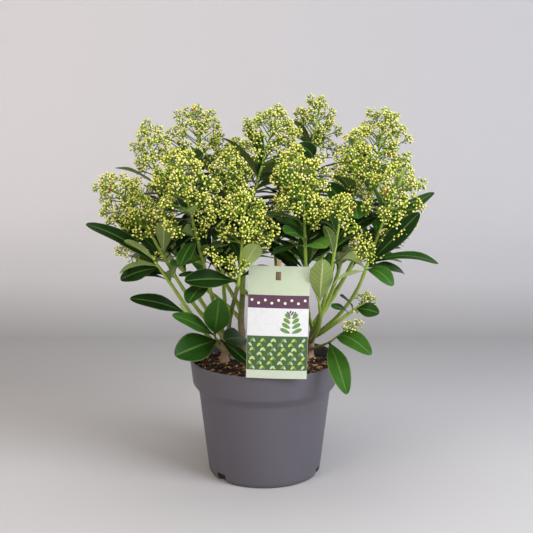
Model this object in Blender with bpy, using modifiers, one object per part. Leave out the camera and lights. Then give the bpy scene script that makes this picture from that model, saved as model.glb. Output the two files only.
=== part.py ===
"""Potted skimmia in bud: pot, soil, plant label, woody stems, boughs and leafy flowering shoots.

The frame is the pot's: origin on the middle of its flat underside, +Z up, -Y towards the viewer.
Sizes below are millimetres; meshes are written in metres.
"""

import itertools
import math
from collections import namedtuple

import bmesh
import bpy
import numpy as np
from mathutils import Matrix, Vector

MM = 0.001
GAP = 0.3
"""Clearance kept between touching pieces."""
FLAT_ANGLE = math.radians(0.4)
"""Faces that meet at less than this are joined after a cut."""
WELD = 0.002
LIFTS = (0.0, 0.06, 0.11)
"""How far a cut's tools are lifted, one after the other, where surfaces meet edge on edge."""
MOST_DROPPED = 0.02
"""Share of the faces that loose scraps may make up where pieces are joined."""

# Pot
POT_HEIGHT = 135.0
POT_WALL = 1.6
POT_FLOOR = 2.4
POT_SIDES = 32
POT_PROFILE = ((59.7, 0.0), (62.6, 1.2), (64.5, 5.0), (75.3, 98.5), (81.7, 106.0), (85.0, 133.8))
"""Outer radius and height, from the foot up to just under the lip."""
LIP_ROUND = 0.6
NOTCH_WIDTH = 14.0
NOTCH_HEIGHT = 10.0
NOTCH_DEPTH = 5.0
NOTCH_INWARD = 9.0
NOTCH_BEARINGS = (-139.0, -19.0, 101.0)
CUT_OVERRUN = 2.0
"""How far a cutting block runs on past the face that it cuts."""

# Soil
SOIL_TOP = 125.0
SOIL_EDGE_DROP = 2.5
SOIL_EDGE_WIDTH = 9.0

# Plant label: a bowed card on a flat wooden stick
CARD_WIDTH = 64.5
CARD_HEIGHT = 121.0
CARD_THICKNESS = 0.8
CARD_BOW = 1.6
CARD_FOOT = (12.5, -88.2, 135.6)
CARD_TURN = 1.6
CARD_LEAN = -2.2
CARD_STRIPS = 6
WINDOW_SIZE = (6.0, 9.0)
WINDOW_BELOW_TOP = 6.0
STICK_WIDTH = 4.6
STICK_THICKNESS = 1.8
STICK_ABOVE_CARD = 6.0
STICK_FOOT_Z = 92.0
STICK_OFFSET = 2.5
STICK_X = -0.6
STICK_SLANT = 0.12
"""How far the stick leans back from the card, for each mm down from its top."""

# Limbs
Stem = namedtuple("Stem", "foot mid top foot_radius top_radius")
STEMS = {
    "stem_left": Stem((-46, 12), (-47, 6, 147), (-50, 0, 174), 4.4, 3.1),
    "stem_thin": Stem((-38, 24), (-40, -8, 170), (-28, -82, 236), 2.7, 2.1),
    "stem_mid": Stem((-24, 30), (-27, 22, 165), (-25, 10, 206), 4.8, 2.9),
    "stem_right": Stem((52, 28), (54, 18, 147), (57, 8, 172), 5.0, 3.1),
    "stem_back": Stem((10, 48), (12, 51, 150), (14, 56, 186), 4.8, 3.1),
}
"""Foot on the soil, a point half way and the top, with the radius at foot and top."""
FLARE = 1.35
STEM_RISE = 3.0
STEM_BEND = (6.0, 0.3)
"""How straight a stem leaves its foot, in mm, and how evenly it bends at its middle, as a share."""
BOUGH_FOOT_RADIUS = 2.4
BOUGH_TIP_RADIUS = 1.8
SHOOT_TIP_RADIUS = 0.9
BOUGH_UPWARD = 1.1
BOUGH_LEAVING = 0.24
BOUGH_ARRIVING = 0.28
BOUGH_STRAIGHT_END = 3.0
"""A bough's bend: how steeply it leaves, the pull at either end, and its straight last stretch."""
CUTTER_SLACK = 1.06
LIMB_STATIONS = 4
LIMB_SIDES = 1
"""Bevel resolution of stems and boughs: 1 gives six sides."""

# Shoots: limb, place along it, neck, foot and tip of the bloom, its half width, leaves, turn
Shoot = namedtuple("Shoot", "limb along neck foot tip spread leaves turn")
SHOOTS = {
    "left_low": Shoot("stem_left", 0.30, (-111, -58, 247), (-117, -62, 257), (-120, -64, 264), 0, 2, 60),
    "left_outer": Shoot("stem_left", 0.72, (-105, -46, 252), (-122, -50, 284), (-168, -45, 343), 26, 6, 20),
    "left_upper": Shoot("stem_left", 0.86, (-110, 6, 286), (-121, 15, 338), (-133, 22, 395), 17, 6, 10),
    "left_back_top": Shoot("stem_mid", 0.72, (-77, 50, 292), (-76, 56, 345), (-77, 62, 409), 35, 7, 40),
    "front_left": Shoot("stem_left", 0.98, (-68, -86, 277), (-76, -98, 316), (-87, -104, 372), 28, 6, 80),
    "mid_left": Shoot("stem_left", 0.92, (-45, -42, 283), (-40, -48, 320), (-35, -52, 370), 18, 6, 0),
    "front_mid_left": Shoot("stem_thin", 1.0, (-27, -88, 242), (-23, -104, 282), (-19, -112, 337), 22, 5, 130),
    "top_mid": Shoot("stem_mid", 0.97, (-16, 0, 308), (-3, 6, 352), (14, 12, 412), 31, 7, 25),
    "back_mid_right": Shoot("stem_back", 0.92, (50, 52, 320), (54, 56, 370), (65, 62, 420), 24, 7, 70),
    "front_mid_right": Shoot("stem_right", 0.84, (43, -78, 270), (41, -88, 314), (33, -96, 376), 27, 7, 15),
    "mid_right": Shoot("stem_right", 0.94, (92, -18, 286), (97, -24, 328), (98, -28, 386), 20, 6, 50),
    "right_top": Shoot("stem_right", 0.88, (116, 12, 292), (123, 14, 338), (135, 22, 409), 30, 7, 35),
    "right_outer": Shoot("stem_right", 0.66, (107, -60, 244), (127, -64, 304), (147, -68, 356), 30, 5, 0),
    "front_right": Shoot("stem_right", 0.76, (71, -90, 262), (76, -98, 298), (80, -106, 328), 11, 6, 110),
    "right_card": Shoot("stem_right", 0.50, (60, -60, 203), (58, -70, 216), (55, -76, 222), 0, 0, 200),
    "right_side": Shoot("stem_right", 0.60, (90, -58, 198), (102, -62, 208), (112, -64, 213), 6, 0, 30),
    "right_low": Shoot("stem_right", 0.22, (71, -30, 159), (79, -50, 171), (84, -58, 177), 0, 0, 90),
    "left_foot": Shoot("stem_left", 0.55, (-54, -14, 158), (-56, -26, 168), (-57, -34, 174), 0, 1, 0),
    "left_mid": Shoot("bough_left_low", 0.46, (-85, -50, 197), (-88, -53, 203), (-91, -56, 209), 0, 1, 300),
    "front_foot": Shoot("stem_mid", 0.22, (-22, 4, 150), (-19, -10, 158), (-18, -18, 162), 0, 0, 180),
    "back_peak": Shoot("stem_mid", 0.84, (-33, 96, 284), (-34, 108, 322), (-35, 120, 369), 21, 7, 5),
    "back_left": Shoot("stem_back", 0.58, (-70, 102, 250), (-88, 116, 288), (-105, 128, 338), 25, 6, 90),
    "side_left": Shoot("stem_mid", 0.58, (-112, 56, 244), (-134, 66, 278), (-152, 74, 324), 22, 6, 15),
    "back_low": Shoot("stem_back", 0.72, (14, 100, 222), (12, 126, 246), (10, 148, 290), 24, 6, 45),
    "back_mid": Shoot("stem_back", 0.98, (36, 104, 276), (42, 124, 312), (48, 142, 358), 24, 6, 120),
    "back_right": Shoot("stem_back", 0.82, (84, 88, 262), (102, 104, 300), (114, 116, 348), 24, 6, 60),
    "side_right": Shoot("stem_right", 0.98, (112, 44, 246), (134, 56, 276), (150, 66, 320), 22, 6, 75),
}
ON_LIMB = ("front_mid_left", "left_foot", "left_mid", "front_foot", "right_low")
"""Shoots that sit straight on their limb, with no bough of their own."""

# Side blooms: shoot, foot, tip, half width
SIDE_BLOOMS = (
    ("left_low", (-113, -60, 252), (-152, -68, 268), 6),
    ("front_left", (-72, -93, 300), (-54, -114, 316), 7),
    ("front_left", (-69, -89, 286), (-96, -118, 303), 8),
    ("front_mid_left", (-26, -92, 252), (-55, -116, 277), 10),
    ("front_mid_left", (-23, -104, 282), (9, -122, 301), 9),
    ("front_mid_right", (42, -85, 300), (60, -108, 313), 7),
    ("right_outer", (117, -62, 274), (146, -78, 292), 5),
    ("right_outer", (112, -61, 258), (94, -94, 294), 10),
    ("right_low", (81, -54, 174), (99, -78, 192), 4),
)

# Leaves that show one by one. The tilt is how far the upper face turns from the sky to the viewer.
Leaf = namedtuple("Leaf", "shoot along tip width bow tilt")
SHOWN_LEAVES = (
    Leaf("left_low", 0.30, (-187, -78, 300), 20, 9, 35),
    Leaf("left_outer", 0.10, (-164, -22, 300), 20, 5, 35),
    Leaf("left_low", 0.65, (-146, -86, 284), 12, 4, -60),
    Leaf("left_low", 0.45, (-152, -86, 249), 15, 6, -50),
    Leaf("left_low", 0.15, (-153, -72, 239), 20, 6, 50),
    Leaf("left_mid", 0.60, (-144, -68, 218), 18, 8, 50),
    Leaf("left_foot", 0.75, (-99, -70, 200), 19, 5, 50),
    Leaf("left_foot", 0.35, (-97, -66, 154), 34, 5, 65),
    Leaf("left_foot", 0.95, (-48, -70, 219), 30, 5, 90),
    Leaf("front_foot", 0.80, (-44, -66, 172), 26, 4, 60),
    Leaf("front_mid_left", 0.10, (-82, -112, 246), 23, 5, 50),
    Leaf("left_outer", 0.25, (-105, -84, 303), 18, 4, -90),
    Leaf("front_left", 0.20, (-88, -120, 290), 22, 11, -60),
    Leaf("front_mid_left", 0.25, (-7, -124, 286), 20, 5, -80),
    Leaf("right_card", 0.75, (60, -103, 267), 25, -3, -90),
    Leaf("right_outer", 0.08, (74, -100, 262), 21, 10, -50),
    Leaf("right_outer", 0.03, (71, -94, 238), 17, 4, -45),
    Leaf("right_outer", 0.16, (161, -84, 313), 20, 5, 75),
    Leaf("right_outer", 0.22, (190, -36, 250), 16, 9, 30),
    Leaf("right_outer", 0.14, (152, -14, 252), 17, 6, 30),
    Leaf("right_outer", 0.10, (154, -30, 237), 17, 6, 35),
    Leaf("right_outer", 0.05, (135, -88, 236), 19, 9, 40),
    Leaf("right_side", 0.70, (122, -78, 204), 17, 4, 60),
    Leaf("right_low", 0.92, (113, -94, 163), 23, 14, 50),
    Leaf("right_low", 0.70, (88, -90, 118), 23, 14, 70),
    Leaf("right_side", 0.10, (70, -92, 214), 14, 3, 40),
    Leaf("right_outer", 0.55, (182, -44, 329), 18, 7, 25),
    Leaf("mid_right", 0.75, (97, -82, 306), 30, 4, 30),
    Leaf("mid_right", 0.40, (66, -52, 340), 22, 5, 70),
    Leaf("back_mid_right", 0.60, (38, 18, 376), 22, 10, 60),
    Leaf("front_mid_right", 0.20, (20, -124, 298), 26, 5, 40),
    Leaf("front_mid_right", 0.08, (62, -132, 284), 28, 6, 40),
    Leaf("left_back_top", 0.80, (-68, 2, 366), 30, 6, 60),
    Leaf("front_right", 0.10, (61, -117, 304), 14, 4, 10),
)

# Rule for the other leaves
GOLDEN_ANGLE = math.radians(137.508)
LEAF_LENGTH = 84.0
LEAF_SLIMNESS = 0.32
LEAF_LOW_RISE = math.radians(82)
LEAF_HIGH_RISE = math.radians(48)
LEAF_SHORTENING = 0.22
"""How much shorter the top leaf of a whorl is than its lowest."""
LEAF_DROOP = 0.16
LEAF_DROOP_SPREAD = 1.2
LEAF_BOW = 0.08
LEAF_THICKNESS = 1.3
LEAF_FOLD = 0.16
LEAF_WIDEST = 1.5
LEAF_WEDGE = 0.95
LEAF_BLUNTNESS = 0.4
LEAF_STALK = 0.13
"""Outline: the higher each is, the nearer its tip a leaf is widest, the more its foot narrows like a
wedge and the blunter its tip is. The last is the stalk's share of the half width."""
LEAF_STATIONS = (0.0, 0.06, 0.46, 0.82, 1.0)
LEAF_SINK = 0.8
"""How far a leaf's root runs on past the middle of its stem."""
LEAF_FIRST = 5.0
LEAF_LAST = 1.0
"""How far above a shoot's neck its whorl starts, and below the bloom it ends."""
LEAF_ROOM = 13.0
"""Stretch from its root along which a leaf may be near its own shoot."""
LEAF_TRIES = (
    (0, 1.0), (24, 1.0), (-24, 1.0), (12, 0.82), (-36, 0.82), (48, 0.7),
    (-12, 0.66), (30, 0.6), (-60, 0.64), (66, 0.6), (-48, 0.54),
)
"""Turn in degrees and length factor, tried in order until the leaf has room."""
CROWN_PROFILE = ((100, 140), (130, 200), (175, 240), (192, 290), (190, 330), (150, 370), (90, 400), (60, 410))
"""Largest distance from the axis that a rule's leaf reaches, and its height."""
CROWN_HALF_WIDTH = 166.0

# Rule for the blooms: sprays, each a thin stalk that ends in a bead of buds
BEAD_RADIUS = 8.6
SIDE_BEAD_RADIUS = 5.5
BEAD_SLIMNESS = 1.6
BEAD_TOP = 0.8
STALK_SINK = 1.5
LEAST_NECK = 0.4
"""How low the bead's top is, how deep the stalk's foot sits, and the stalk's least share of a spray."""
AREA_PER_SPRAY = 250.0
MOST_SPRAYS = 7
MOST_SIDE_SPRAYS = 3
STALK_RADIUS = 0.9
BLOOM_WIDEST = 0.22
BLOOM_TAPER = 0.84
BLOOM_FILLED = 0.8
"""Share of a bloom's full cylinder that its surface has."""
SPRAY_PHASE = 0.35
SPRAY_DEPTHS = (1.0, 1.0, 0.7)
"""How far out sprays end, in turn, as a share of the bloom's half width."""
STALK_RISE = 0.62
STALK_START = 2.0

# Clearance: how far apart the points are that stand for a surface, and what they keep free
SAMPLE_STEP = 4.0
LIMB_STEP = 2.5
STALK_STEP = 3.0
LEAF_KEEP = 2.0
LIMB_KEEP = 0.4
STALK_KEEP = 1.6
BEAD_KEEP = 1.0
CARD_KEEP = 1.5
WALL_KEEP = 1.0
SEARCH_MARGIN = 8.0
"""How far round a shape its neighbours are looked for."""

# View: leaves set by the rule keep out of sight lines to the label and the leaves set by hand
VIEWER = (0.0, -1200.0, 470.0)
SIGHT_LENGTH = 72.0
SIGHT_STEP = 6.0
SIGHT_KEEP = 2.5

COLOURS = {
    "pot": (0.115, 0.105, 0.118),
    "soil": (0.035, 0.020, 0.012),
    "card": (0.540, 0.620, 0.420),
    "stick": (0.540, 0.370, 0.200),
    "stem": (0.250, 0.190, 0.120),
    "bough": (0.150, 0.300, 0.030),
    "mass": (0.050, 0.130, 0.025),
}
ROUGHNESS = {"pot": 0.5, "soil": 0.95, "card": 0.55, "stick": 0.75, "stem": 0.8, "bough": 0.5, "mass": 0.35}


# Vectors and paths

def vec(*numbers):
    return np.array(numbers, dtype=float)


def unit(vector):
    return vector / np.linalg.norm(vector)


def turned(vector, axis, angle):
    """The vector turned about a unit axis."""
    along = axis * np.dot(axis, vector)
    across = vector - along
    return along + across * math.cos(angle) + np.cross(axis, across) * math.sin(angle)


def square_to(vector, axis):
    """The part of the vector square to a unit axis, as a unit vector."""
    return unit(vector - axis * np.dot(axis, vector))


def bezier(a, b, c, d, count):
    """Points along a cubic curve."""
    t = np.linspace(0.0, 1.0, count)[:, None]
    s = 1.0 - t
    return s ** 3 * a + 3 * s * s * t * b + 3 * s * t * t * c + t ** 3 * d


def point_at(path, share):
    """The point, and the direction there, at a share of a path's length."""
    steps = np.diff(path, axis=0)
    lengths = np.linalg.norm(steps, axis=1)
    left = share * lengths.sum()
    for i, length in enumerate(lengths):
        if left <= length or i == len(lengths) - 1:
            return path[i] + steps[i] * min(left / length, 1.0), steps[i] / length
        left -= length


def spaced(path, step):
    """Points along a path, at most a step apart."""
    points = [path[:1]]
    for a, b in zip(path[:-1], path[1:]):
        count = max(1, math.ceil(np.linalg.norm(b - a) / step))
        points.append(a + (b - a) * (np.arange(1, count + 1) / count)[:, None])
    return np.concatenate(points)


def radius_in(profile, z):
    """The radius of a turned outline at a height."""
    radii = [point[0] for point in profile]
    heights = [point[1] for point in profile]
    return np.interp(z, heights, radii)


# Room: what is placed already

class Room:
    """Points on everything placed so far, each with the distance it keeps free and its owner."""

    def __init__(self):
        self.points = np.zeros((0, 3))
        self.keep = np.zeros(0)
        self.owner = np.zeros(0, dtype=int)

    def add(self, points, keep, owner):
        self.points = np.concatenate([self.points, points])
        self.keep = np.concatenate([self.keep, np.broadcast_to(keep, len(points))])
        self.owner = np.concatenate([self.owner, np.full(len(points), owner)])

    def free(self, points, keep, owner=None):
        """True where the points keep clear of everything, or of every other owner's points."""
        if not len(points):
            return True
        margin = keep + SEARCH_MARGIN
        near = np.all(self.points > points.min(axis=0) - margin, axis=1)
        near &= np.all(self.points < points.max(axis=0) + margin, axis=1)
        if owner is not None:
            near &= self.owner != owner
        if not near.any():
            return True
        apart = np.linalg.norm(points[:, None, :] - self.points[near][None, :, :], axis=2)
        return bool(np.all(apart > self.keep[near][None, :] + keep))


def clear_of_pot(points, keep):
    """True where the points stay out of the pot's wall and the soil."""
    radius = np.hypot(points[:, 0], points[:, 1])
    z = points[:, 2]
    outside = radius > radius_in(POT_PROFILE, z) + keep
    inside = (radius < POT_PROFILE[-1][0] - POT_WALL - keep - WALL_KEEP) & (z > SOIL_TOP + keep)
    return bool(np.all(outside | inside | (z > POT_HEIGHT + keep)))


def sight_lines(points):
    """Points strung from each point towards the viewer."""
    towards = vec(*VIEWER) - points
    towards /= np.linalg.norm(towards, axis=1)[:, None]
    reaches = np.arange(SIGHT_STEP, SIGHT_LENGTH, SIGHT_STEP)
    return np.concatenate([points + towards * reach for reach in reaches])


# The plant's rule: limbs

def stem_path(stem):
    """A stem from its flat foot on the soil, through its middle, to its top."""
    foot = vec(*stem.foot, SOIL_TOP + GAP)
    first = foot + vec(0, 0, STEM_RISE)
    mid = vec(*stem.mid)
    top = vec(*stem.top)
    straight, pull = STEM_BEND
    below = mid - unit(top - foot) * straight
    lower = bezier(first, first + vec(0, 0, straight), below, mid, LIMB_STATIONS)
    upper = bezier(mid, mid + (mid - first) * pull, top - (top - mid) * pull, top, LIMB_STATIONS)
    return np.concatenate([foot[None], lower, upper[1:]])


def bough_path(start, leaving, neck, heading):
    """A bough from its limb to its shoot's neck, ending straight along the shoot."""
    span = np.linalg.norm(neck - start)
    end = neck - heading * BOUGH_STRAIGHT_END
    pulled = (start + leaving * span * BOUGH_LEAVING, end - heading * span * BOUGH_ARRIVING)
    return np.concatenate([bezier(start, *pulled, end, LIMB_STATIONS), neck[None]])


def taper(path, first, last):
    """Radii along a path that shrink evenly from first to last."""
    lengths = np.concatenate([[0.0], np.cumsum(np.linalg.norm(np.diff(path, axis=0), axis=1))])
    return first + (last - first) * lengths / lengths[-1]


Limb = namedtuple("Limb", "path radii cut_by")


def grow_limbs():
    """All stems and boughs: path, radii and the limbs that each one's foot is cut clear of."""
    limbs = {}
    for name, stem in STEMS.items():
        path = stem_path(stem)
        radii = taper(path, stem.foot_radius, stem.top_radius)
        radii[0] *= FLARE
        limbs[name] = Limb(path, radii, [])
    for name, shoot in SHOOTS.items():
        if name in ON_LIMB:
            continue
        parent = limbs[shoot.limb]
        start, rising = point_at(parent.path, shoot.along)
        neck = vec(*shoot.neck)
        outward = unit(square_to(neck - start, rising) + rising * BOUGH_UPWARD)
        heading = unit(vec(*shoot.foot) - neck)
        path = bough_path(start, outward, neck, heading)
        siblings = [other for other in limbs if SHOOTS.get(other[6:], shoot).limb == shoot.limb
                    and other.startswith("bough")]
        radii = taper(path, BOUGH_FOOT_RADIUS, BOUGH_TIP_RADIUS)
        limbs["bough_" + name] = Limb(path, radii, [shoot.limb] + siblings)
    return limbs


# The plant's rule: masses

Spray = namedtuple("Spray", "start end bead turn")
Mass = namedtuple("Mass", "path radii leaves sprays")
Blade = namedtuple("Blade", "base tip width bow face")


def shoot_path(name, shoot, limbs):
    """A shoot's own stem: from its neck, or clear of its limb's bark, up to the bloom's tip."""
    foot = vec(*shoot.foot)
    tip = vec(*shoot.tip)
    neck = vec(*shoot.neck)
    if name in ON_LIMB and shoot.along < 1.0:
        limb = limbs[shoot.limb]
        start, rising = point_at(limb.path, shoot.along)
        heading = unit(neck - start)
        slant = abs(np.dot(heading, rising))
        thickness = limb.radii[0] / FLARE + GAP + BOUGH_TIP_RADIUS * slant
        start = start + heading * thickness / math.sqrt(1.0 - slant * slant)
        return np.array([start, neck, foot, tip])
    if shoot.along == 1.0:
        end, rising = point_at(limbs[shoot.limb].path, 1.0)
        start = end + rising * GAP
        return np.array([start, start + rising * 4.0, foot, (foot + tip) / 2, tip])
    heading = unit(foot - neck)
    return np.array([neck + heading * GAP, (neck + foot) / 2, foot, (foot + tip) / 2, tip])


def leaf_point(blade, along, across=0.0, lift=0.0):
    """A point on a blade: along its length, across in half widths, lifted off its middle in mm."""
    chord = blade.tip - blade.base
    side = np.cross(unit(chord), blade.face)
    half = blade.width / 2 * leaf_outline(along)
    raised = 4 * along * (1 - along) * blade.bow + abs(across) * half * LEAF_FOLD + lift
    return blade.base + chord * along + side * across * half + blade.face * raised


def leaf_outline(along):
    """Share of the half width: a narrow stalk, a wedge, widest past the middle, a blunt tip."""
    if along <= 0.0 or along >= 1.0:
        return 0.0
    rounding = LEAF_WEDGE - LEAF_BLUNTNESS * along
    return max(math.sin(math.pi * along ** LEAF_WIDEST) ** rounding, LEAF_STALK)


def leaf_samples(blade):
    """Points over a blade, with each one's distance from its root."""
    rows = max(4, round(np.linalg.norm(blade.tip - blade.base) / SAMPLE_STEP))
    points = []
    for i in range(1, rows + 1):
        along = i / rows
        half = blade.width / 2 * leaf_outline(along)
        columns = max(1, math.ceil(2 * half / SAMPLE_STEP))
        for j in range(columns + 1):
            points.append(leaf_point(blade, along, 2 * j / columns - 1))
    points = np.array(points)
    return points, np.linalg.norm(points - blade.base, axis=1)


def in_crown(point):
    """True where a point lies inside the crown's outline."""
    reach = radius_in(CROWN_PROFILE, point[2])
    return abs(point[0]) < CROWN_HALF_WIDTH and math.hypot(point[0], point[1]) < reach


def leaf_fits(blade, room, sight, owner):
    """True where a blade hides nothing that shows, and touches only, at its root, its own shoot."""
    points, reach = leaf_samples(blade)
    if not clear_of_pot(points, LEAF_KEEP):
        return False
    if not sight.free(points, SIGHT_KEEP):
        return False
    if not room.free(points, LEAF_KEEP, owner):
        return False
    return room.free(points[reach > LEAF_ROOM], LEAF_KEEP)


def rule_leaves(shoot, path, room, sight, owner):
    """The whorl: leaves set round the stem below the bloom by the golden angle."""
    blades = []
    low = path[0]
    high = vec(*shoot.foot)
    stretch = np.linalg.norm(high - low)
    axis = unit(high - low)
    sideways = square_to(vec(1, 0, 0.3), axis)
    for i in range(shoot.leaves):
        share = i / max(shoot.leaves - 1, 1)
        base = low + axis * (LEAF_FIRST + (stretch - LEAF_FIRST - LEAF_LAST) * share)
        rise = LEAF_LOW_RISE + (LEAF_HIGH_RISE - LEAF_LOW_RISE) * share
        length = LEAF_LENGTH * (1.0 - LEAF_SHORTENING * share)
        for swing, factor in LEAF_TRIES:
            bearing = math.radians(shoot.turn + swing) + i * GOLDEN_ANGLE
            out = turned(sideways, axis, bearing)
            size = length * factor
            tip = base + (axis * math.cos(rise) + out * math.sin(rise)) * size
            tip[2] -= LEAF_DROOP * size * (LEAF_DROOP_SPREAD - share)
            face = square_to(axis + vec(0, 0, 0.4), unit(tip - base))
            blade = Blade(base, tip, LEAF_SLIMNESS * size, LEAF_BOW * size, face)
            if in_crown(tip) and leaf_fits(blade, room, sight, owner):
                room.add(leaf_samples(blade)[0], LEAF_KEEP, owner)
                blades.append(blade)
                break
    return blades


def shown_leaf(leaf, path, room, owner):
    """A leaf set by hand, from its place on the shoot's stem to its tip."""
    base = point_at(path[:3], leaf.along)[0]
    tip = vec(*leaf.tip)
    tilt = math.radians(leaf.tilt)
    face = square_to(vec(0, -math.sin(tilt), math.cos(tilt)), unit(tip - base))
    blade = Blade(base, tip, leaf.width, leaf.bow, face)
    room.add(leaf_samples(blade)[0], LEAF_KEEP, owner)
    return blade


def bloom_half_width(height):
    """Share of a bloom's half width at a share of its height: a rounded cone."""
    return math.sqrt(max(0.0, 1.0 - ((height - BLOOM_WIDEST) / BLOOM_TAPER) ** 2))


def bloom_sprays(foot, tip, spread, bead, most, room, owner):
    """Sprays of one bloom, from the stem in its middle outwards, by the golden angle."""
    axis = unit(tip - foot)
    height = np.linalg.norm(tip - foot)
    across = square_to(vec(1, 0.2, 0.1), axis)
    area = math.pi * 2 * spread * height * BLOOM_FILLED
    count = int(np.clip(area / AREA_PER_SPRAY, 2, most))
    sprays = []
    for k in range(count + 1):
        share = 1.0 if k == count else (k + SPRAY_PHASE) / count
        depth = SPRAY_DEPTHS[k % len(SPRAY_DEPTHS)] * (share < 1.0)
        out = spread * bloom_half_width(share) * depth
        end = foot + axis * height * share + turned(across, axis, k * GOLDEN_ANGLE) * out
        start = foot + axis * max(STALK_START, height * share - out * STALK_RISE - STALK_START)
        points = spaced(np.array([start, end]), STALK_STEP)
        keep = np.full(len(points), STALK_KEEP)
        keep[-1] = bead + BEAD_KEEP
        apart = all(room.free(points[i:i + 1], keep[i], owner) for i in range(len(points)))
        if apart and clear_of_pot(points[-1:], bead):
            sprays.append(Spray(start, end, bead, k * GOLDEN_ANGLE))
            room.add(points, keep, owner)
    return sprays


def grow_masses(limbs):
    """Every mass of the crown: stem, then the leaves that show, then blooms, then the whorls."""
    room = Room()
    sight = Room()
    for limb in limbs.values():
        room.add(spaced(limb.path, LIMB_STEP), limb.radii.max() + LIMB_KEEP, -1)
    room.add(card_samples(), CARD_KEEP, -2)
    sight.add(sight_lines(card_samples()), SIGHT_KEEP, -2)
    paths = {name: shoot_path(name, shoot, limbs) for name, shoot in SHOOTS.items()}
    owners = {name: i for i, name in enumerate(SHOOTS)}
    masses = {}
    for name, path in paths.items():
        masses[name] = Mass(path, taper(path, BOUGH_TIP_RADIUS, SHOOT_TIP_RADIUS), [], [])
        room.add(spaced(path, LIMB_STEP), BOUGH_TIP_RADIUS, owners[name])
    for leaf in SHOWN_LEAVES:
        blade = shown_leaf(leaf, paths[leaf.shoot], room, owners[leaf.shoot])
        sight.add(sight_lines(leaf_samples(blade)[0]), SIGHT_KEEP, -1)
        masses[leaf.shoot].leaves.append(blade)
    for name, shoot in SHOOTS.items():
        if shoot.spread:
            bloom = (vec(*shoot.foot), vec(*shoot.tip), shoot.spread)
            masses[name].sprays.extend(bloom_sprays(*bloom, BEAD_RADIUS, MOST_SPRAYS, room, owners[name]))
    for name, foot, tip, spread in SIDE_BLOOMS:
        foot = vec(*foot)
        tip = vec(*tip)
        masses[name].sprays.append(Spray(foot, tip, SIDE_BEAD_RADIUS, 1.0))
        sides = bloom_sprays(foot, tip, spread, SIDE_BEAD_RADIUS, MOST_SIDE_SPRAYS, room, owners[name])
        masses[name].sprays.extend(spray for spray in sides if not np.allclose(spray.end, tip))
    for name, shoot in SHOOTS.items():
        masses[name].leaves.extend(rule_leaves(shoot, paths[name], room, sight, owners[name]))
    return masses


# Blender helpers

def clear_scene():
    for thing in list(bpy.data.objects):
        bpy.data.objects.remove(thing, do_unlink=True)


def new_collection(name):
    collection = bpy.data.collections.new(name)
    bpy.context.scene.collection.children.link(collection)
    return collection


def new_object(name, mesh, collection):
    thing = bpy.data.objects.new(name, mesh)
    collection.objects.link(thing)
    return thing


def evaluated_mesh(thing):
    """The object's mesh with its modifiers applied, or a curve's mesh."""
    bpy.context.view_layer.update()
    depsgraph = bpy.context.evaluated_depsgraph_get()
    return bpy.data.meshes.new_from_object(thing.evaluated_get(depsgraph))


def mesh_from(bm, name):
    """A mesh of triangles from a bmesh, which is freed."""
    bmesh.ops.triangulate(bm, faces=bm.faces)
    mesh = bpy.data.meshes.new(name)
    bm.to_mesh(mesh)
    bm.free()
    return mesh


def apply_modifiers(thing):
    mesh = evaluated_mesh(thing)
    thing.modifiers.clear()
    thing.data = mesh


def face_pieces(bm):
    """The mesh's faces in groups joined along edges, smallest group first."""
    seen = set()
    pieces = []
    for face in bm.faces:
        if face in seen:
            continue
        piece = []
        stack = [face]
        seen.add(face)
        while stack:
            here = stack.pop()
            piece.append(here)
            for edge in here.edges:
                for other in edge.link_faces:
                    if other not in seen:
                        seen.add(other)
                        stack.append(other)
        pieces.append(piece)
    return sorted(pieces, key=len)


def in_triangles(bm, method):
    """A copy of the mesh in triangles, or None where it doesn't come out as one closed piece."""
    copy = bm.copy()
    bmesh.ops.triangulate(copy, faces=copy.faces, ngon_method=method)
    if all(edge.is_manifold for edge in copy.edges) and len(face_pieces(copy)) == 1:
        return copy
    copy.free()
    return None


def keep_main_piece(thing, most_dropped):
    """Drops scraps and sealed hollows. True where they were few enough and the rest is closed."""
    bm = bmesh.new()
    bm.from_mesh(thing.data)
    bmesh.ops.remove_doubles(bm, verts=bm.verts, dist=WELD * MM)
    pieces = face_pieces(bm)
    dropped = sum(len(piece) for piece in pieces[:-1])
    sound = dropped <= most_dropped * len(bm.faces)
    for piece in pieces[:-1]:
        bmesh.ops.delete(bm, geom=piece, context="FACES")
    simpler = bm.copy()
    bmesh.ops.dissolve_limit(simpler, angle_limit=FLAT_ANGLE, verts=simpler.verts, edges=simpler.edges)
    for mesh, method in itertools.product((simpler, bm), ("BEAUTY", "EAR_CLIP")):
        best = in_triangles(mesh, method)
        if best:
            best.to_mesh(thing.data)
            best.free()
            break
    simpler.free()
    bm.free()
    return sound and best is not None


def boolean(thing, others, operation):
    """Joins or cuts the object with the others, which are removed, and keeps its main piece."""
    tools = new_collection("tools")
    for other in others:
        tools.objects.link(other)
        for collection in list(other.users_collection):
            if collection is not tools:
                collection.objects.unlink(other)
        other.hide_render = True
        other.display_type = "WIRE"
    before = thing.data
    most_dropped = MOST_DROPPED if operation == "UNION" else 1.0
    for lift, solver in itertools.product(LIFTS, ("EXACT", "MANIFOLD")):
        for other in others:
            other.location.z = lift * MM
        thing.data = before
        modifier = thing.modifiers.new("Join", "BOOLEAN")
        modifier.operation = operation
        modifier.operand_type = "COLLECTION"
        modifier.collection = tools
        modifier.solver = solver
        apply_modifiers(thing)
        if keep_main_piece(thing, most_dropped):
            break
    else:
        raise RuntimeError(thing.name + " did not come out as one closed piece")
    for other in list(tools.objects):
        bpy.data.objects.remove(other, do_unlink=True)
    bpy.data.collections.remove(tools)


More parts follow.
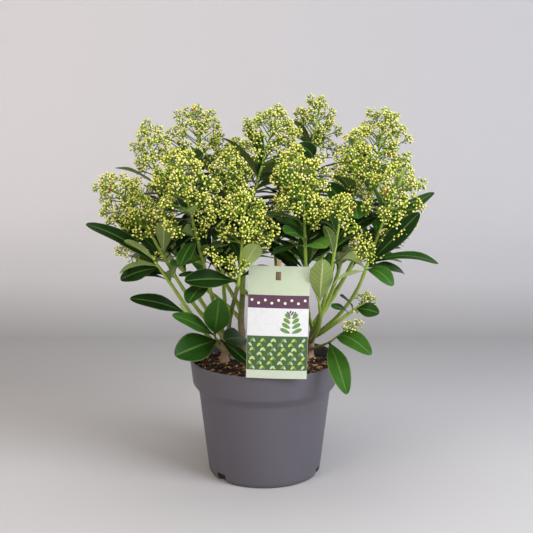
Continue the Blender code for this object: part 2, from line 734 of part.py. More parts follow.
def tube(name, path, radii, resolution, collection):
    """A tapering tube along a path: a curve with a bevel, made a closed mesh."""
    curve = bpy.data.curves.new(name, "CURVE")
    curve.dimensions = "3D"
    curve.bevel_depth = MM
    curve.bevel_resolution = resolution
    curve.use_fill_caps = True
    spline = curve.splines.new("POLY")
    spline.points.add(len(path) - 1)
    for point, place, radius in zip(spline.points, path, radii):
        point.co = (*(place * MM), 1.0)
        point.radius = radius
    guide = new_object(name + "_path", curve, collection)
    mesh = evaluated_mesh(guide)
    bpy.data.objects.remove(guide, do_unlink=True)
    bm = bmesh.new()
    bm.from_mesh(mesh)
    bmesh.ops.remove_doubles(bm, verts=bm.verts, dist=0.01 * MM)
    bmesh.ops.recalc_face_normals(bm, faces=bm.faces)
    return new_object(name, mesh_from(bm, name), collection)


def finish(thing, kind):
    """Gives a finished part its own material."""
    material = bpy.data.materials.new(thing.name)
    material.use_nodes = True
    shader = material.node_tree.nodes["Principled BSDF"]
    shader.inputs["Base Color"].default_value = (*COLOURS[kind], 1.0)
    shader.inputs["Roughness"].default_value = ROUGHNESS[kind]
    thing.data.materials.clear()
    thing.data.materials.append(material)


# Pot and soil

def turned_solid(name, profile, collection):
    """A solid turned about the Z axis from a profile that starts and ends on the axis."""
    mesh = bpy.data.meshes.new(name)
    points = [(radius * MM, 0.0, z * MM) for radius, z in profile]
    mesh.from_pydata(points, [(i, i + 1) for i in range(len(points) - 1)], [])
    thing = new_object(name, mesh, collection)
    screw = thing.modifiers.new("Turn", "SCREW")
    screw.steps = POT_SIDES
    screw.render_steps = POT_SIDES
    screw.use_merge_vertices = True
    screw.merge_threshold = 0.00001
    apply_modifiers(thing)
    bm = bmesh.new()
    bm.from_mesh(thing.data)
    bmesh.ops.remove_doubles(bm, verts=bm.verts, dist=0.01 * MM)
    bmesh.ops.recalc_face_normals(bm, faces=bm.faces)
    bm.to_mesh(thing.data)
    bm.free()
    return thing


def box(name, size, place, turn, collection):
    """A box of a size in mm, centred on a place and turned about Z."""
    bm = bmesh.new()
    bmesh.ops.create_cube(bm, size=1.0)
    bmesh.ops.scale(bm, vec=Vector(size) * MM, verts=bm.verts)
    bmesh.ops.rotate(bm, matrix=Matrix.Rotation(turn, 3, "Z"), verts=bm.verts)
    bmesh.ops.translate(bm, vec=Vector(place) * MM, verts=bm.verts)
    return new_object(name, mesh_from(bm, name), collection)


def inner_profile(gap):
    """The pot's inside, or what fits it with a gap, from the floor up to under the lip."""
    low = POT_FLOOR + gap
    inside = [(radius_in(POT_PROFILE, low) - POT_WALL - gap, low)]
    for radius, z in POT_PROFILE:
        if z > POT_FLOOR + 1.0:
            inside.append((radius - POT_WALL - gap, z))
    return inside


def make_pot(collection):
    """The nursery pot: tapered wall, stepped rim and drain notches in its foot."""
    rim_radius = POT_PROFILE[-1][0]
    lip = [
        (rim_radius - POT_WALL + LIP_ROUND, POT_HEIGHT),
        (rim_radius - LIP_ROUND, POT_HEIGHT),
    ]
    profile = [(0.0, POT_FLOOR)] + inner_profile(0.0) + lip + list(reversed(POT_PROFILE)) + [(0.0, 0.0)]
    pot = turned_solid("pot", profile, collection)
    cutters = []
    for bearing in NOTCH_BEARINGS:
        angle = math.radians(bearing)
        out = POT_PROFILE[0][0] + NOTCH_DEPTH / 2
        place = (out * math.cos(angle), out * math.sin(angle), NOTCH_HEIGHT / 2 - CUT_OVERRUN / 2)
        size = (NOTCH_DEPTH + NOTCH_INWARD, NOTCH_WIDTH, NOTCH_HEIGHT + CUT_OVERRUN)
        cutters.append(box("notch", size, place, angle, collection))
    boolean(pot, cutters, "DIFFERENCE")
    finish(pot, "pot")
    return pot


def make_soil(collection):
    """The filling of compost, up to a little under the rim, with a slot for the stick."""
    inside = [point for point in inner_profile(GAP) if point[1] < SOIL_TOP - SOIL_EDGE_DROP]
    edge_z = SOIL_TOP - SOIL_EDGE_DROP
    edge = radius_in(POT_PROFILE, edge_z) - POT_WALL - GAP
    top = [(edge, edge_z), (edge - SOIL_EDGE_WIDTH, SOIL_TOP), (0.0, SOIL_TOP)]
    profile = list(reversed([(0.0, POT_FLOOR + GAP)] + inside + top))
    soil = turned_solid("soil", profile, collection)
    slot = stick_solid("slot", GAP, collection)
    boolean(soil, [slot], "DIFFERENCE")
    finish(soil, "soil")
    return soil


# Plant label

def card_matrix():
    """Places the label: x across, y through it towards the back, z up from its bottom edge."""
    turn = Matrix.Rotation(math.radians(CARD_TURN), 4, "Y")
    lean = Matrix.Rotation(math.radians(CARD_LEAN), 4, "X")
    return Matrix.Translation(Vector(CARD_FOOT)) @ lean @ turn


def card_bow(x):
    """How far the card's middle stands in front of its edges."""
    return -CARD_BOW * (1.0 - (2 * x / CARD_WIDTH) ** 2)


def card_samples():
    """Points over the card and the stick."""
    matrix = card_matrix()
    points = []
    for x in np.arange(-CARD_WIDTH / 2, CARD_WIDTH / 2 + 1, SAMPLE_STEP):
        for z in np.arange(-2, CARD_HEIGHT + STICK_ABOVE_CARD, SAMPLE_STEP):
            points.append(matrix @ Vector((x, card_bow(x), z)))
    return np.array(points)


def make_card(collection):
    """The card: a strip bowed about its height, with a window that shows the stick."""
    bm = bmesh.new()
    bmesh.ops.create_grid(bm, x_segments=CARD_STRIPS, y_segments=1, size=0.5)
    for vert in bm.verts:
        x = vert.co.x * CARD_WIDTH
        vert.co = Vector((x, card_bow(x), (vert.co.y + 0.5) * CARD_HEIGHT)) * MM
    bmesh.ops.recalc_face_normals(bm, faces=bm.faces)
    mesh = bpy.data.meshes.new("label_card")
    bm.to_mesh(mesh)
    bm.free()
    card = new_object("label_card", mesh, collection)
    shell = card.modifiers.new("Thickness", "SOLIDIFY")
    shell.thickness = CARD_THICKNESS * MM
    shell.offset = 0.0
    apply_modifiers(card)
    window_z = CARD_HEIGHT - WINDOW_BELOW_TOP - WINDOW_SIZE[1] / 2
    window_size = (WINDOW_SIZE[0], 4 * CARD_BOW, WINDOW_SIZE[1])
    window = box("window", window_size, (STICK_X, 0.0, window_z), 0.0, collection)
    boolean(card, [window], "DIFFERENCE")
    place_by_card(card)
    finish(card, "card")
    return card


def place_by_card(thing):
    matrix = card_matrix()
    for vert in thing.data.vertices:
        vert.co = (matrix @ (vert.co / MM)) * MM


def stick_solid(name, grown, collection):
    """The flat stick behind the card, or a block a gap larger that cuts its slot."""
    foot = STICK_FOOT_Z - CARD_FOOT[2]
    height = CARD_HEIGHT + STICK_ABOVE_CARD - foot + 2 * grown
    size = (STICK_WIDTH + 2 * grown, STICK_THICKNESS + 2 * grown, height)
    stick = box(name, size, (0.0, 0.0, foot - grown + height / 2), 0.0, collection)
    bottom = foot - grown
    for vert in stick.data.vertices:
        up = vert.co.z / MM - bottom
        leaning = STICK_SLANT * (CARD_HEIGHT + STICK_ABOVE_CARD - foot - up)
        vert.co.x += STICK_X * MM
        vert.co.y += (STICK_OFFSET + leaning) * MM
    place_by_card(stick)
    return stick


def make_stick(collection):
    """The wooden stick that holds the card, pushed into the soil just inside the rim."""
    stick = stick_solid("label_stick", 0.0, collection)
    finish(stick, "stick")
    return stick


# Limbs and masses as solids

def make_limb(name, limb, limbs, collection):
    """A stem or bough. A bough's foot is cut to fit its limb, a gap clear of it."""
    thing = tube(name, limb.path, limb.radii, LIMB_SIDES, collection)
    cutters = []
    for other in limb.cut_by:
        near = limbs[other]
        cutters.append(tube("cutter", near.path, near.radii * CUTTER_SLACK + GAP, LIMB_SIDES, collection))
    if cutters:
        boolean(thing, cutters, "DIFFERENCE")
    finish(thing, name.split("_")[0])
    return thing


def ball_ring(vert, rings):
    """Which ring of a ball a point is on, counted from its bottom pole."""
    return round(math.acos(max(-1.0, min(1.0, -vert.co.z))) / math.pi * rings)


def blade_solid(blade, collection):
    """A leaf: a ball of four meridians drawn out to the blade's outline, fold and bow."""
    bm = bmesh.new()
    bmesh.ops.create_uvsphere(bm, u_segments=4, v_segments=4, radius=1.0)
    for vert in bm.verts:
        ring = ball_ring(vert, 4)
        wide = -np.sign(round(vert.co.x, 3))
        thick = np.sign(round(vert.co.y, 3))
        place = leaf_point(blade, LEAF_STATIONS[ring], wide, thick * LEAF_THICKNESS / 2)
        if ring == 0:
            place = blade.base - unit(blade.tip - blade.base) * LEAF_SINK
        vert.co = Vector(place) * MM
    return new_object("leaf", mesh_from(bm, "leaf"), collection)


def spray_solid(spray, collection):
    """A spray: a ball of three meridians drawn out to a thin stalk and a bead of buds."""
    run = Vector(spray.end - spray.start)
    length = run.length
    bead_half = spray.bead * BEAD_SLIMNESS / 2
    neck = max(length - bead_half, length * LEAST_NECK)
    stations = ((0.0, -STALK_SINK), (STALK_RADIUS, 0.0), (STALK_RADIUS, neck), (spray.bead, length),
                (0.0, length + bead_half * BEAD_TOP))
    bm = bmesh.new()
    bmesh.ops.create_uvsphere(bm, u_segments=3, v_segments=4, radius=1.0)
    for vert in bm.verts:
        radius, along = stations[ball_ring(vert, 4)]
        around = math.hypot(vert.co.x, vert.co.y) or 1.0
        vert.co = Vector((vert.co.x / around * radius, vert.co.y / around * radius, along)) * MM
    aim = run.to_track_quat("Z", "Y").to_matrix().to_4x4() @ Matrix.Rotation(spray.turn, 4, "Z")
    bmesh.ops.transform(bm, matrix=Matrix.Translation(Vector(spray.start) * MM) @ aim, verts=bm.verts)
    return new_object("spray", mesh_from(bm, "spray"), collection)


def make_mass(name, mass, collection):
    """A shoot's stem with its leaves and sprays fused on."""
    thing = tube("mass_" + name, mass.path, mass.radii, 0, collection)
    parts = [blade_solid(blade, collection) for blade in mass.leaves]
    parts.extend(spray_solid(spray, collection) for spray in mass.sprays)
    boolean(thing, parts, "UNION")
    finish(thing, "mass")
    return thing


def main():
    clear_scene()
    collection = new_collection("potted_skimmia")
    make_pot(collection)
    make_soil(collection)
    make_card(collection)
    make_stick(collection)
    limbs = grow_limbs()
    for name, limb in limbs.items():
        make_limb(name, limb, limbs, collection)
    for name, mass in grow_masses(limbs).items():
        make_mass(name, mass, collection)


main()
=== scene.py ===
"""Looks of the potted skimmia: pot, compost, label, barked stems, leaves and flower heads in bud.

Sizes in the tables are millimetres, in the frame's own axes: the pot's foot is at the origin,
+Z is up and -Y is towards the viewer. Meshes are written in metres.
"""

import functools
import math
from collections import namedtuple

import bmesh
import bpy
import numpy as np
from mathutils import Matrix, Vector, kdtree, noise


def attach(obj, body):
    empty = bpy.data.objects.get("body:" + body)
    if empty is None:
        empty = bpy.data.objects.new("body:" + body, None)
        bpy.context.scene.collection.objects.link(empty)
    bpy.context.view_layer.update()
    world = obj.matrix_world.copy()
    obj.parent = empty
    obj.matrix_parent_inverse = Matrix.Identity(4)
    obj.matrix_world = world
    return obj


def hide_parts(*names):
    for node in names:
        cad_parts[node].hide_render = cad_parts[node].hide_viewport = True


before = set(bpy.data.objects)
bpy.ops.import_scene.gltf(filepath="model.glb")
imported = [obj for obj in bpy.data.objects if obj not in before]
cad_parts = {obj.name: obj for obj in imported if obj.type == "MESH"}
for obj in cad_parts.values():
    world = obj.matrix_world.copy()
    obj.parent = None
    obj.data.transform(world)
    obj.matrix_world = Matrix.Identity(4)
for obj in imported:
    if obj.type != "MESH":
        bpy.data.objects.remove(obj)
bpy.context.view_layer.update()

bl_info = {
    "name": "Potted skimmia",
    "version": (1, 0, 0),
    "blender": (4, 5, 0),
    "location": "3D View > Sidebar > Skimmia",
    "description": "Builds a potted skimmia in bud, piece by piece",
    "category": "Add Mesh",
}

MM = 0.001
BODY = "root"

# Pot and compost
POT_HEIGHT = 135.0
POT_WALL = 1.6
POT_FLOOR = 2.4
POT_PROFILE = ((59.7, 0.0), (62.6, 1.2), (64.5, 5.0), (75.3, 98.5), (81.7, 106.0), (85.0, 133.8))
"""Outer radius and height, from the foot up to just under the lip."""
POT_SIDES = 128
NOTCH_WIDTH = 14.0
NOTCH_HEIGHT = 10.0
NOTCH_DEPTH = 5.0
NOTCH_BEARINGS = (-139.0, -19.0, 101.0)
SOIL_TOP = 125.0
SOIL_EDGE_DROP = 2.5
SOIL_EDGE_WIDTH = 9.0
SOIL_HEAPS = (21.0, 2.4)
SOIL_CLODS = (7.0, 1.3)
"""Width and height of the compost's broad heaps, and of the clods on them."""
SOIL_HIGHEST = 1.6
SOIL_SINK = 0.4
FIT = 0.3
"""Clearance kept between neighbours that touch."""

# Label
CARD_WIDTH = 64.5
CARD_HEIGHT = 121.0
CARD_THICKNESS = 0.7
CARD_BOW = 1.6
CARD_FOOT = (12.5, -88.2, 135.6)
CARD_TURN = 1.6
CARD_LEAN = -2.2
WINDOW_SIZE = (6.0, 9.0)
WINDOW_BELOW_TOP = 6.0
STICK_WIDTH = 4.6
STICK_THICKNESS = 1.8
STICK_ABOVE_CARD = 6.0
STICK_FOOT_Z = 92.0
STICK_OFFSET = 2.5
STICK_X = -0.6
STICK_SLANT = 0.12
STICK_EASE = 0.35
WINDOW_LOW = CARD_HEIGHT - WINDOW_BELOW_TOP - WINDOW_SIZE[1]
WINDOW_HIGH = WINDOW_LOW + WINDOW_SIZE[1]
WINDOW_LEFT = STICK_X - WINDOW_SIZE[0] / 2
WINDOW_RIGHT = STICK_X + WINDOW_SIZE[0] / 2
WINDOW_HOLE = (WINDOW_LEFT - 0.01, WINDOW_RIGHT - 0.01, WINDOW_LOW - 0.01, WINDOW_HIGH - 0.01)
"""The window's cell in the plate's stations, kept a hair off them."""
PRINT_MARGIN = 0.15
PRINT_ROOT = 0.05
BAND_LIFT = 0.04
MOTIF_LIFT = 0.08
"""How far the print stays inside the card's edge, reaches into it, and stands off it."""
SAGE_LOW = 90.0
CARD_BANDS = (
    ("plum", 76.0, SAGE_LOW), ("mist", 46.0, 76.0), ("moss", 9.0, 46.0), ("pale", PRINT_MARGIN, 9.0),
)
CARD_INKS = {
    "sage": ("#b4bfa3", "#bcc8ac"), "plum": ("#4a2c40", "#5c3a50"), "mist": ("#c9cbcb", "#dfe0df"),
    "fern": ("#557a35", "#6f9446"), "moss": ("#34502a", "#436234"), "lime": ("#a8bb4a", "#bccb62"),
    "cream": ("#e9e4c4", "#f3efd6"), "pale": ("#b6bfab", "#bfc8b5"),
}
# The card's motifs: a row of dots, a sprig and a field of small leaves, from its bottom edge up
DOTS = 9
DOT_APART = 7.0
DOT_RADIUS = 1.5
DOT_Z = 83.0
SPRIG = (14.0, 49.5)
SPRIG_PAIRS = 4
SPRIG_STEP = 5.2
SPRIG_LEAF = (11.5, 4.2)
SPRIG_FLOWERS = 10
SPRIG_TOP = 71.0
SPRIG_HEAD = 4.6
SPRIG_DOT = 0.95
PATTERN_FOOT = (-29.0, 10.0)
PATTERN_STEP = (5.5, 4.9)
PATTERN_LEAF = (5.0, 2.5)
PATTERN_ROWS = 7
PATTERN_COLUMNS = 11

# Limbs: foot on the compost, a point half way, the top, and the radius at foot and top
Stem = namedtuple("Stem", "foot mid top foot_radius top_radius")
STEMS = {
    "stem_left": Stem((-46, 12), (-47, 6, 147), (-50, 0, 174), 4.4, 3.1),
    "stem_thin": Stem((-38, 24), (-40, -8, 170), (-28, -82, 236), 2.7, 2.1),
    "stem_mid": Stem((-24, 30), (-27, 22, 165), (-25, 10, 206), 4.8, 2.9),
    "stem_right": Stem((52, 28), (54, 18, 147), (57, 8, 172), 5.0, 3.1),
    "stem_back": Stem((10, 48), (12, 51, 150), (14, 56, 186), 4.8, 3.1),
}
FLARE = 1.35
STEM_RISE = 3.0
STEM_BEND = (6.0, 0.3)
BOUGH_FOOT_RADIUS = 2.4
BOUGH_TIP_RADIUS = 1.8
SHOOT_TIP_RADIUS = 0.9
BOUGH_UPWARD = 1.1
BOUGH_LEAVING = 0.24
BOUGH_ARRIVING = 0.28
BOUGH_STRAIGHT_END = 3.0
"""A bough's bend: how steeply it leaves, the pull at either end, and its straight last stretch."""

# Shoots: limb, place along it, neck, foot and tip of the bloom, its half width, leaves, turn
Shoot = namedtuple("Shoot", "limb along neck foot tip spread leaves turn")
SHOOTS = {
    "left_low": Shoot("stem_left", 0.30, (-111, -58, 247), (-117, -62, 257), (-120, -64, 264), 0, 2, 60),
    "left_outer": Shoot("stem_left", 0.72, (-105, -46, 252), (-122, -50, 284), (-168, -45, 343), 26, 6, 20),
    "left_upper": Shoot("stem_left", 0.86, (-110, 6, 286), (-121, 15, 338), (-133, 22, 395), 17, 6, 10),
    "left_back_top": Shoot("stem_mid", 0.72, (-77, 50, 292), (-76, 56, 345), (-77, 62, 409), 35, 7, 40),
    "front_left": Shoot("stem_left", 0.98, (-68, -86, 277), (-76, -98, 316), (-87, -104, 372), 28, 6, 80),
    "mid_left": Shoot("stem_left", 0.92, (-45, -42, 283), (-40, -48, 320), (-35, -52, 370), 18, 6, 0),
    "front_mid_left": Shoot("stem_thin", 1, (-27, -88, 242), (-23, -104, 282), (-19, -112, 337), 22, 5, 130),
    "top_mid": Shoot("stem_mid", 0.97, (-16, 0, 308), (-3, 6, 352), (14, 12, 412), 31, 7, 25),
    "back_mid_right": Shoot("stem_back", 0.92, (50, 52, 320), (54, 56, 370), (65, 62, 420), 24, 7, 70),
    "front_mid_right": Shoot("stem_right", 0.84, (43, -78, 270), (41, -88, 314), (33, -96, 376), 27, 7, 15),
    "mid_right": Shoot("stem_right", 0.94, (92, -18, 286), (97, -24, 328), (98, -28, 386), 20, 6, 50),
    "right_top": Shoot("stem_right", 0.88, (116, 12, 292), (123, 14, 338), (135, 22, 409), 30, 7, 35),
    "right_outer": Shoot("stem_right", 0.66, (107, -60, 244), (127, -64, 304), (147, -68, 356), 30, 5, 0),
    "front_right": Shoot("stem_right", 0.76, (71, -90, 262), (76, -98, 298), (80, -106, 328), 11, 6, 110),
    "right_card": Shoot("stem_right", 0.50, (60, -60, 203), (58, -70, 216), (55, -76, 222), 0, 0, 200),
    "right_side": Shoot("stem_right", 0.60, (90, -58, 198), (102, -62, 208), (112, -64, 213), 6, 0, 30),
    "right_low": Shoot("stem_right", 0.22, (71, -30, 159), (79, -50, 171), (84, -58, 177), 0, 0, 90),
    "left_foot": Shoot("stem_left", 0.55, (-54, -14, 158), (-56, -26, 168), (-57, -34, 174), 0, 1, 0),
    "left_mid": Shoot("bough_left_low", 0.46, (-85, -50, 197), (-88, -53, 203), (-91, -56, 209), 0, 1, 300),
    "front_foot": Shoot("stem_mid", 0.22, (-22, 4, 150), (-19, -10, 158), (-18, -18, 162), 0, 0, 180),
    "back_peak": Shoot("stem_mid", 0.84, (-33, 96, 284), (-34, 108, 322), (-35, 120, 369), 21, 7, 5),
    "back_left": Shoot("stem_back", 0.58, (-70, 102, 250), (-88, 116, 288), (-105, 128, 338), 25, 6, 90),
    "side_left": Shoot("stem_mid", 0.58, (-112, 56, 244), (-134, 66, 278), (-152, 74, 324), 22, 6, 15),
    "back_low": Shoot("stem_back", 0.72, (14, 100, 222), (12, 126, 246), (10, 148, 290), 24, 6, 45),
    "back_mid": Shoot("stem_back", 0.98, (36, 104, 276), (42, 124, 312), (48, 142, 358), 24, 6, 120),
    "back_right": Shoot("stem_back", 0.82, (84, 88, 262), (102, 104, 300), (114, 116, 348), 24, 6, 60),
    "side_right": Shoot("stem_right", 0.98, (112, 44, 246), (134, 56, 276), (150, 66, 320), 22, 6, 75),
}
MASS_NODES = tuple("mass_" + name for name in SHOOTS)
ON_LIMB = ("front_mid_left", "left_foot", "left_mid", "front_foot", "right_low")
"""Shoots that sit straight on their limb, with no bough of their own."""

# Side blooms: shoot, foot, tip, half width
SIDE_BLOOMS = (
    ("left_low", (-113, -60, 252), (-152, -68, 268), 6),
    ("front_left", (-72, -93, 300), (-54, -114, 316), 7),
    ("front_left", (-69, -89, 286), (-96, -118, 303), 8),
    ("front_mid_left", (-26, -92, 252), (-55, -116, 277), 10),
    ("front_mid_left", (-23, -104, 282), (9, -122, 301), 9),
    ("front_mid_right", (42, -85, 300), (60, -108, 313), 7),
    ("right_outer", (117, -62, 274), (146, -78, 292), 5),
    ("right_outer", (112, -61, 258), (94, -94, 294), 10),
    ("right_low", (81, -54, 174), (99, -78, 192), 4),
)

# Leaves that show one by one. The tilt is how far the upper face turns from the sky to the viewer.
Leaf = namedtuple("Leaf", "shoot along tip width bow tilt")
SHOWN_LEAVES = (
    Leaf("left_low", 0.30, (-187, -78, 300), 20, 9, 35),
    Leaf("left_outer", 0.10, (-164, -22, 300), 20, 5, 35),
    Leaf("left_low", 0.65, (-146, -86, 284), 12, 4, -60),
    Leaf("left_low", 0.45, (-152, -86, 249), 15, 6, -50),
    Leaf("left_low", 0.15, (-153, -72, 239), 20, 6, 50),
    Leaf("left_mid", 0.60, (-144, -68, 218), 18, 8, 50),
    Leaf("left_foot", 0.75, (-99, -70, 200), 19, 5, 50),
    Leaf("left_foot", 0.35, (-97, -66, 154), 34, 5, 65),
    Leaf("left_foot", 0.95, (-48, -70, 219), 30, 5, 90),
    Leaf("front_foot", 0.80, (-44, -66, 172), 26, 4, 60),
    Leaf("front_mid_left", 0.10, (-82, -112, 246), 23, 5, 50),
    Leaf("left_outer", 0.25, (-105, -84, 303), 18, 4, -90),
    Leaf("front_left", 0.20, (-88, -120, 290), 22, 11, -60),
    Leaf("front_mid_left", 0.25, (-7, -124, 286), 20, 5, -80),
    Leaf("right_card", 0.75, (60, -103, 267), 25, -3, -90),
    Leaf("right_outer", 0.08, (74, -100, 262), 21, 10, -50),
    Leaf("right_outer", 0.03, (71, -94, 238), 17, 4, -45),
    Leaf("right_outer", 0.16, (161, -84, 313), 20, 5, 75),
    Leaf("right_outer", 0.22, (190, -36, 250), 16, 9, 30),
    Leaf("right_outer", 0.14, (152, -14, 252), 17, 6, 30),
    Leaf("right_outer", 0.10, (154, -30, 237), 17, 6, 35),
    Leaf("right_outer", 0.05, (135, -88, 236), 19, 9, 40),
    Leaf("right_side", 0.70, (122, -78, 204), 17, 4, 60),
    Leaf("right_low", 0.92, (113, -94, 163), 23, 14, 50),
    Leaf("right_low", 0.70, (88, -90, 118), 23, 14, 70),
    Leaf("right_side", 0.10, (70, -92, 214), 14, 3, 40),
    Leaf("right_outer", 0.55, (182, -44, 329), 18, 7, 25),
    Leaf("mid_right", 0.75, (97, -82, 306), 30, 4, 30),
    Leaf("mid_right", 0.40, (66, -52, 340), 22, 5, 70),
    Leaf("back_mid_right", 0.60, (38, 18, 376), 22, 10, 60),
    Leaf("front_mid_right", 0.20, (20, -124, 298), 26, 5, 40),
    Leaf("front_mid_right", 0.08, (62, -132, 284), 28, 6, 40),
    Leaf("left_back_top", 0.80, (-68, 2, 366), 30, 6, 60),
    Leaf("front_right", 0.10, (61, -117, 304), 14, 4, 10),
)

SHOWN_TONES = (
    0, 1, 1, 1, 0, 0, 2, 1, 2, 1, 0, 1, 1, 3, 1, 3, 2,
    0, 1, 0, 1, 2, 1, 2, 2, 1, 1, 2, 1, 0, 2, 3, 1, 0,
)
"""Each of these leaves' tone, from the darkest green to the lightest."""

# Rule for the other leaves
GOLDEN_ANGLE = math.radians(137.508)
LEAF_LENGTH = 84.0
LEAF_SLIMNESS = 0.32
LEAF_LOW_RISE = math.radians(82)
LEAF_HIGH_RISE = math.radians(48)
LEAF_SHORTENING = 0.22
LEAF_DROOP = 0.16
LEAF_DROOP_SPREAD = 1.2
LEAF_BOW = 0.08
LEAF_FOLD = 0.16
LEAF_WIDEST = 1.5
LEAF_WEDGE = 0.95
LEAF_BLUNTNESS = 0.4
LEAF_STALK = 0.13
"""Outline: how near its tip a leaf is widest, how wedged its foot, how blunt its tip, its stalk's width."""
LEAF_FIRST = 5.0
LEAF_LAST = 1.0
LEAF_ROOM = 13.0
"""Stretch from its root along which a leaf may be near its own shoot."""
LEAF_TRIES = (
    (0, 1.0), (24, 1.0), (-24, 1.0), (12, 0.82), (-36, 0.82), (48, 0.7),
    (-12, 0.66), (30, 0.6), (-60, 0.64), (66, 0.6), (-48, 0.54),
)
CROWN_PROFILE = (
    (100, 140), (130, 200), (175, 240), (192, 290), (190, 330), (150, 370), (90, 400), (60, 410),
)
CROWN_HALF_WIDTH = 166.0

# Rule for the blooms
BEAD_RADIUS = 8.6
SIDE_BEAD_RADIUS = 5.5
AREA_PER_SPRAY = 250.0
MOST_SPRAYS = 7
MOST_SIDE_SPRAYS = 3
BLOOM_WIDEST = 0.22
BLOOM_TAPER = 0.84
BLOOM_FILLED = 0.8
SPRAY_PHASE = 0.35
SPRAY_DEPTHS = (1.0, 1.0, 0.7)
STALK_RISE = 0.62
STALK_START = 2.0

# Clearance: how far apart the points are that stand for a surface, and what they keep free
SAMPLE_STEP = 4.0
LIMB_STEP = 2.5
STALK_STEP = 3.0
LEAF_KEEP = 2.0
LIMB_KEEP = 0.4
STALK_KEEP = 1.6
BEAD_KEEP = 1.0
CARD_KEEP = 1.5
WALL_KEEP = 1.0
SEARCH_MARGIN = 8.0

# View: leaves set by a rule keep out of sight lines to the label, the listed leaves and the blooms
VIEWER = (0.0, -1200.0, 470.0)
SIGHT_LENGTH = 72.0
SIGHT_STEP = 6.0
SIGHT_KEEP = 2.5

# Finer growth, for the eye
FINE_AREA_PER_SPRAY = 200.0
FINE_MOST_SPRAYS = 60
FINE_BEAD_RADIUS = 6.8
FINE_APART = 10.0
SIDE_APART = 9.0
TWIGS_PER_SPRAY = 6
BUDS_PER_TWIG = 3
BUD_APART = 2.35
BUD_OFF_LEAF = 1.7
FILL_LEAVES = 14
BOUGH_LEAVES = 14
BOUGH_LEAVES_FROM = 0.42
FILL_FROM_Z = 230.0
FILL_HANG = 14.0
FILL_ABOVE = 16.0
"""How low leaves start that fill the crown, how far they hang below it, and how far they rise past
their bloom's foot."""
FILL_LEAF_KEEP = 0.8
FILL_SCALE = 0.8
FILL_TURN = 70
BOUGH_LEAF_SCALE = 0.85
BOUGH_LEAF_DROOP = 0.4
BLOOM_SIGHT_KEEP = 4.0
SPRAY_REACH = (0.7, 1.14)
SPRAY_OFF_LEAF = 4.0
SPRAY_SIZES = (0.85, 1.15)
STALK_RADII = (0.8, 0.5)
TWIG_RADII = (0.42, 0.34)
BUD_TWIG_RADII = (0.28, 0.5)
TWIG_LEAN = (8.0, 66.0)
"""Lean of a spray's first twig off its axis, and how much more its last one leans, in degrees."""
TWIG_START = (0.1, 0.6)
"""How far back from a spray's end its first twig starts, and how much further its last, in beads."""
TWIG_REACH = (0.5, 0.85)
TWIG_JITTER = 0.3
TWIG_SPLAY = 0.85
BUD_REACH = (2.4, 3.8)
BUD_JITTER = 0.4
BUD_UPTURN = 0.35
BUD_SIZES = (0.8, 1.15)
BUD_TONE_SHARES = (0.4, 0.34, 0.26)
BUD_TONES = (
    ("cream", "#557a12", "#f6ee8e"), ("lemon", "#507510", "#e4e162"), ("lime", "#466c0d", "#aabf40"),
    ("red", "#a8622e", "#c8413a"),
)
"""Each tone's name, and its colour in the bud's cup and at its tip."""
RED_SIZE = 1.3
LEAF_TONES = (
    ("#0d2107", "#1a380e", "#5a7434", "#708845"),
    ("#16330c", "#294e17", "#748b42", "#8b9f57"),
    ("#264d14", "#3b6622", "#8aa152", "#a3b56a"),
    ("#3c6a1e", "#56802e", "#8fa854", "#a6b86a"),
)
"""Each tone's deeper and fresher colour, above and under."""
LEAF_TONE_SHARES = (0.44, 0.34, 0.17, 0.05)
RED_BUDS = ((-81, 40, 412), (-164, -70, 338), (137, -10, 364), (121, -95, 335), (92, -95, 322))
"""Near which places a bud has turned red."""
SEED = 7

# Camera, from the photograph: a frame of 533 pixels, looking a little down
PHOTO_SIZE = 533.0
PHOTO_FOCUS = 1084.1
PHOTO_CENTRE_X = 264.5
CAMERA_DISTANCE = 1.200
CAMERA_HEIGHT = 0.470
CAMERA_PITCH = math.radians(10.86)
SENSOR = 36.0


# Colours and nodes

def linear(colour):
    """A linear colour from an sRGB hex value."""
    parts = [int(colour[i:i + 2], 16) / 255 for i in (1, 3, 5)]
    return tuple(p / 12.92 if p <= 0.04045 else ((p + 0.055) / 1.055) ** 2.4 for p in parts)


def rgba(colour):
    """A linear colour with an alpha of one."""
    return (*linear(colour), 1.0)


def add(tree, kind, settings=None, **inputs):
    """Adds a node with its settings, and gives its inputs values or links.

    A name may be an identifier. A node given as an input stands for its first output."""
    node = tree.nodes.new(kind)
    for name, value in (settings or {}).items():
        setattr(node, name, value)
    sockets = {socket.name.replace(" ", "_"): socket for socket in reversed(node.inputs)}
    sockets.update({socket.identifier.replace(" ", "_"): socket for socket in node.inputs})
    for name, value in inputs.items():
        if isinstance(value, bpy.types.Node):
            value = value.outputs[0]
        if isinstance(value, bpy.types.NodeSocket):
            tree.links.new(value, sockets[name])
        else:
            sockets[name].default_value = value
    return node


def new_material(name, **values):
    """A material with one Principled shader, its plain values set on the shader's own sockets."""
    material = bpy.data.materials.new(name)
    material.use_nodes = True
    shader = material.node_tree.nodes["Principled BSDF"]
    for key, value in values.items():
        shader.inputs[key.replace("_", " ")].default_value = value
    return material, material.node_tree, shader


def blend(tree, low, high, factor, mode="MIX"):
    """The colour between two, by a factor, or the two multiplied. Each is hex, linear or a link."""
    low, high = (rgba(side) if isinstance(side, str) else side for side in (low, high))
    mix = add(tree, "ShaderNodeMix", {"data_type": "RGBA", "blend_type": mode}, Factor_Float=factor,
              A_Color=low, B_Color=high)
    return next(socket for socket in mix.outputs if socket.identifier == "Result_Color")


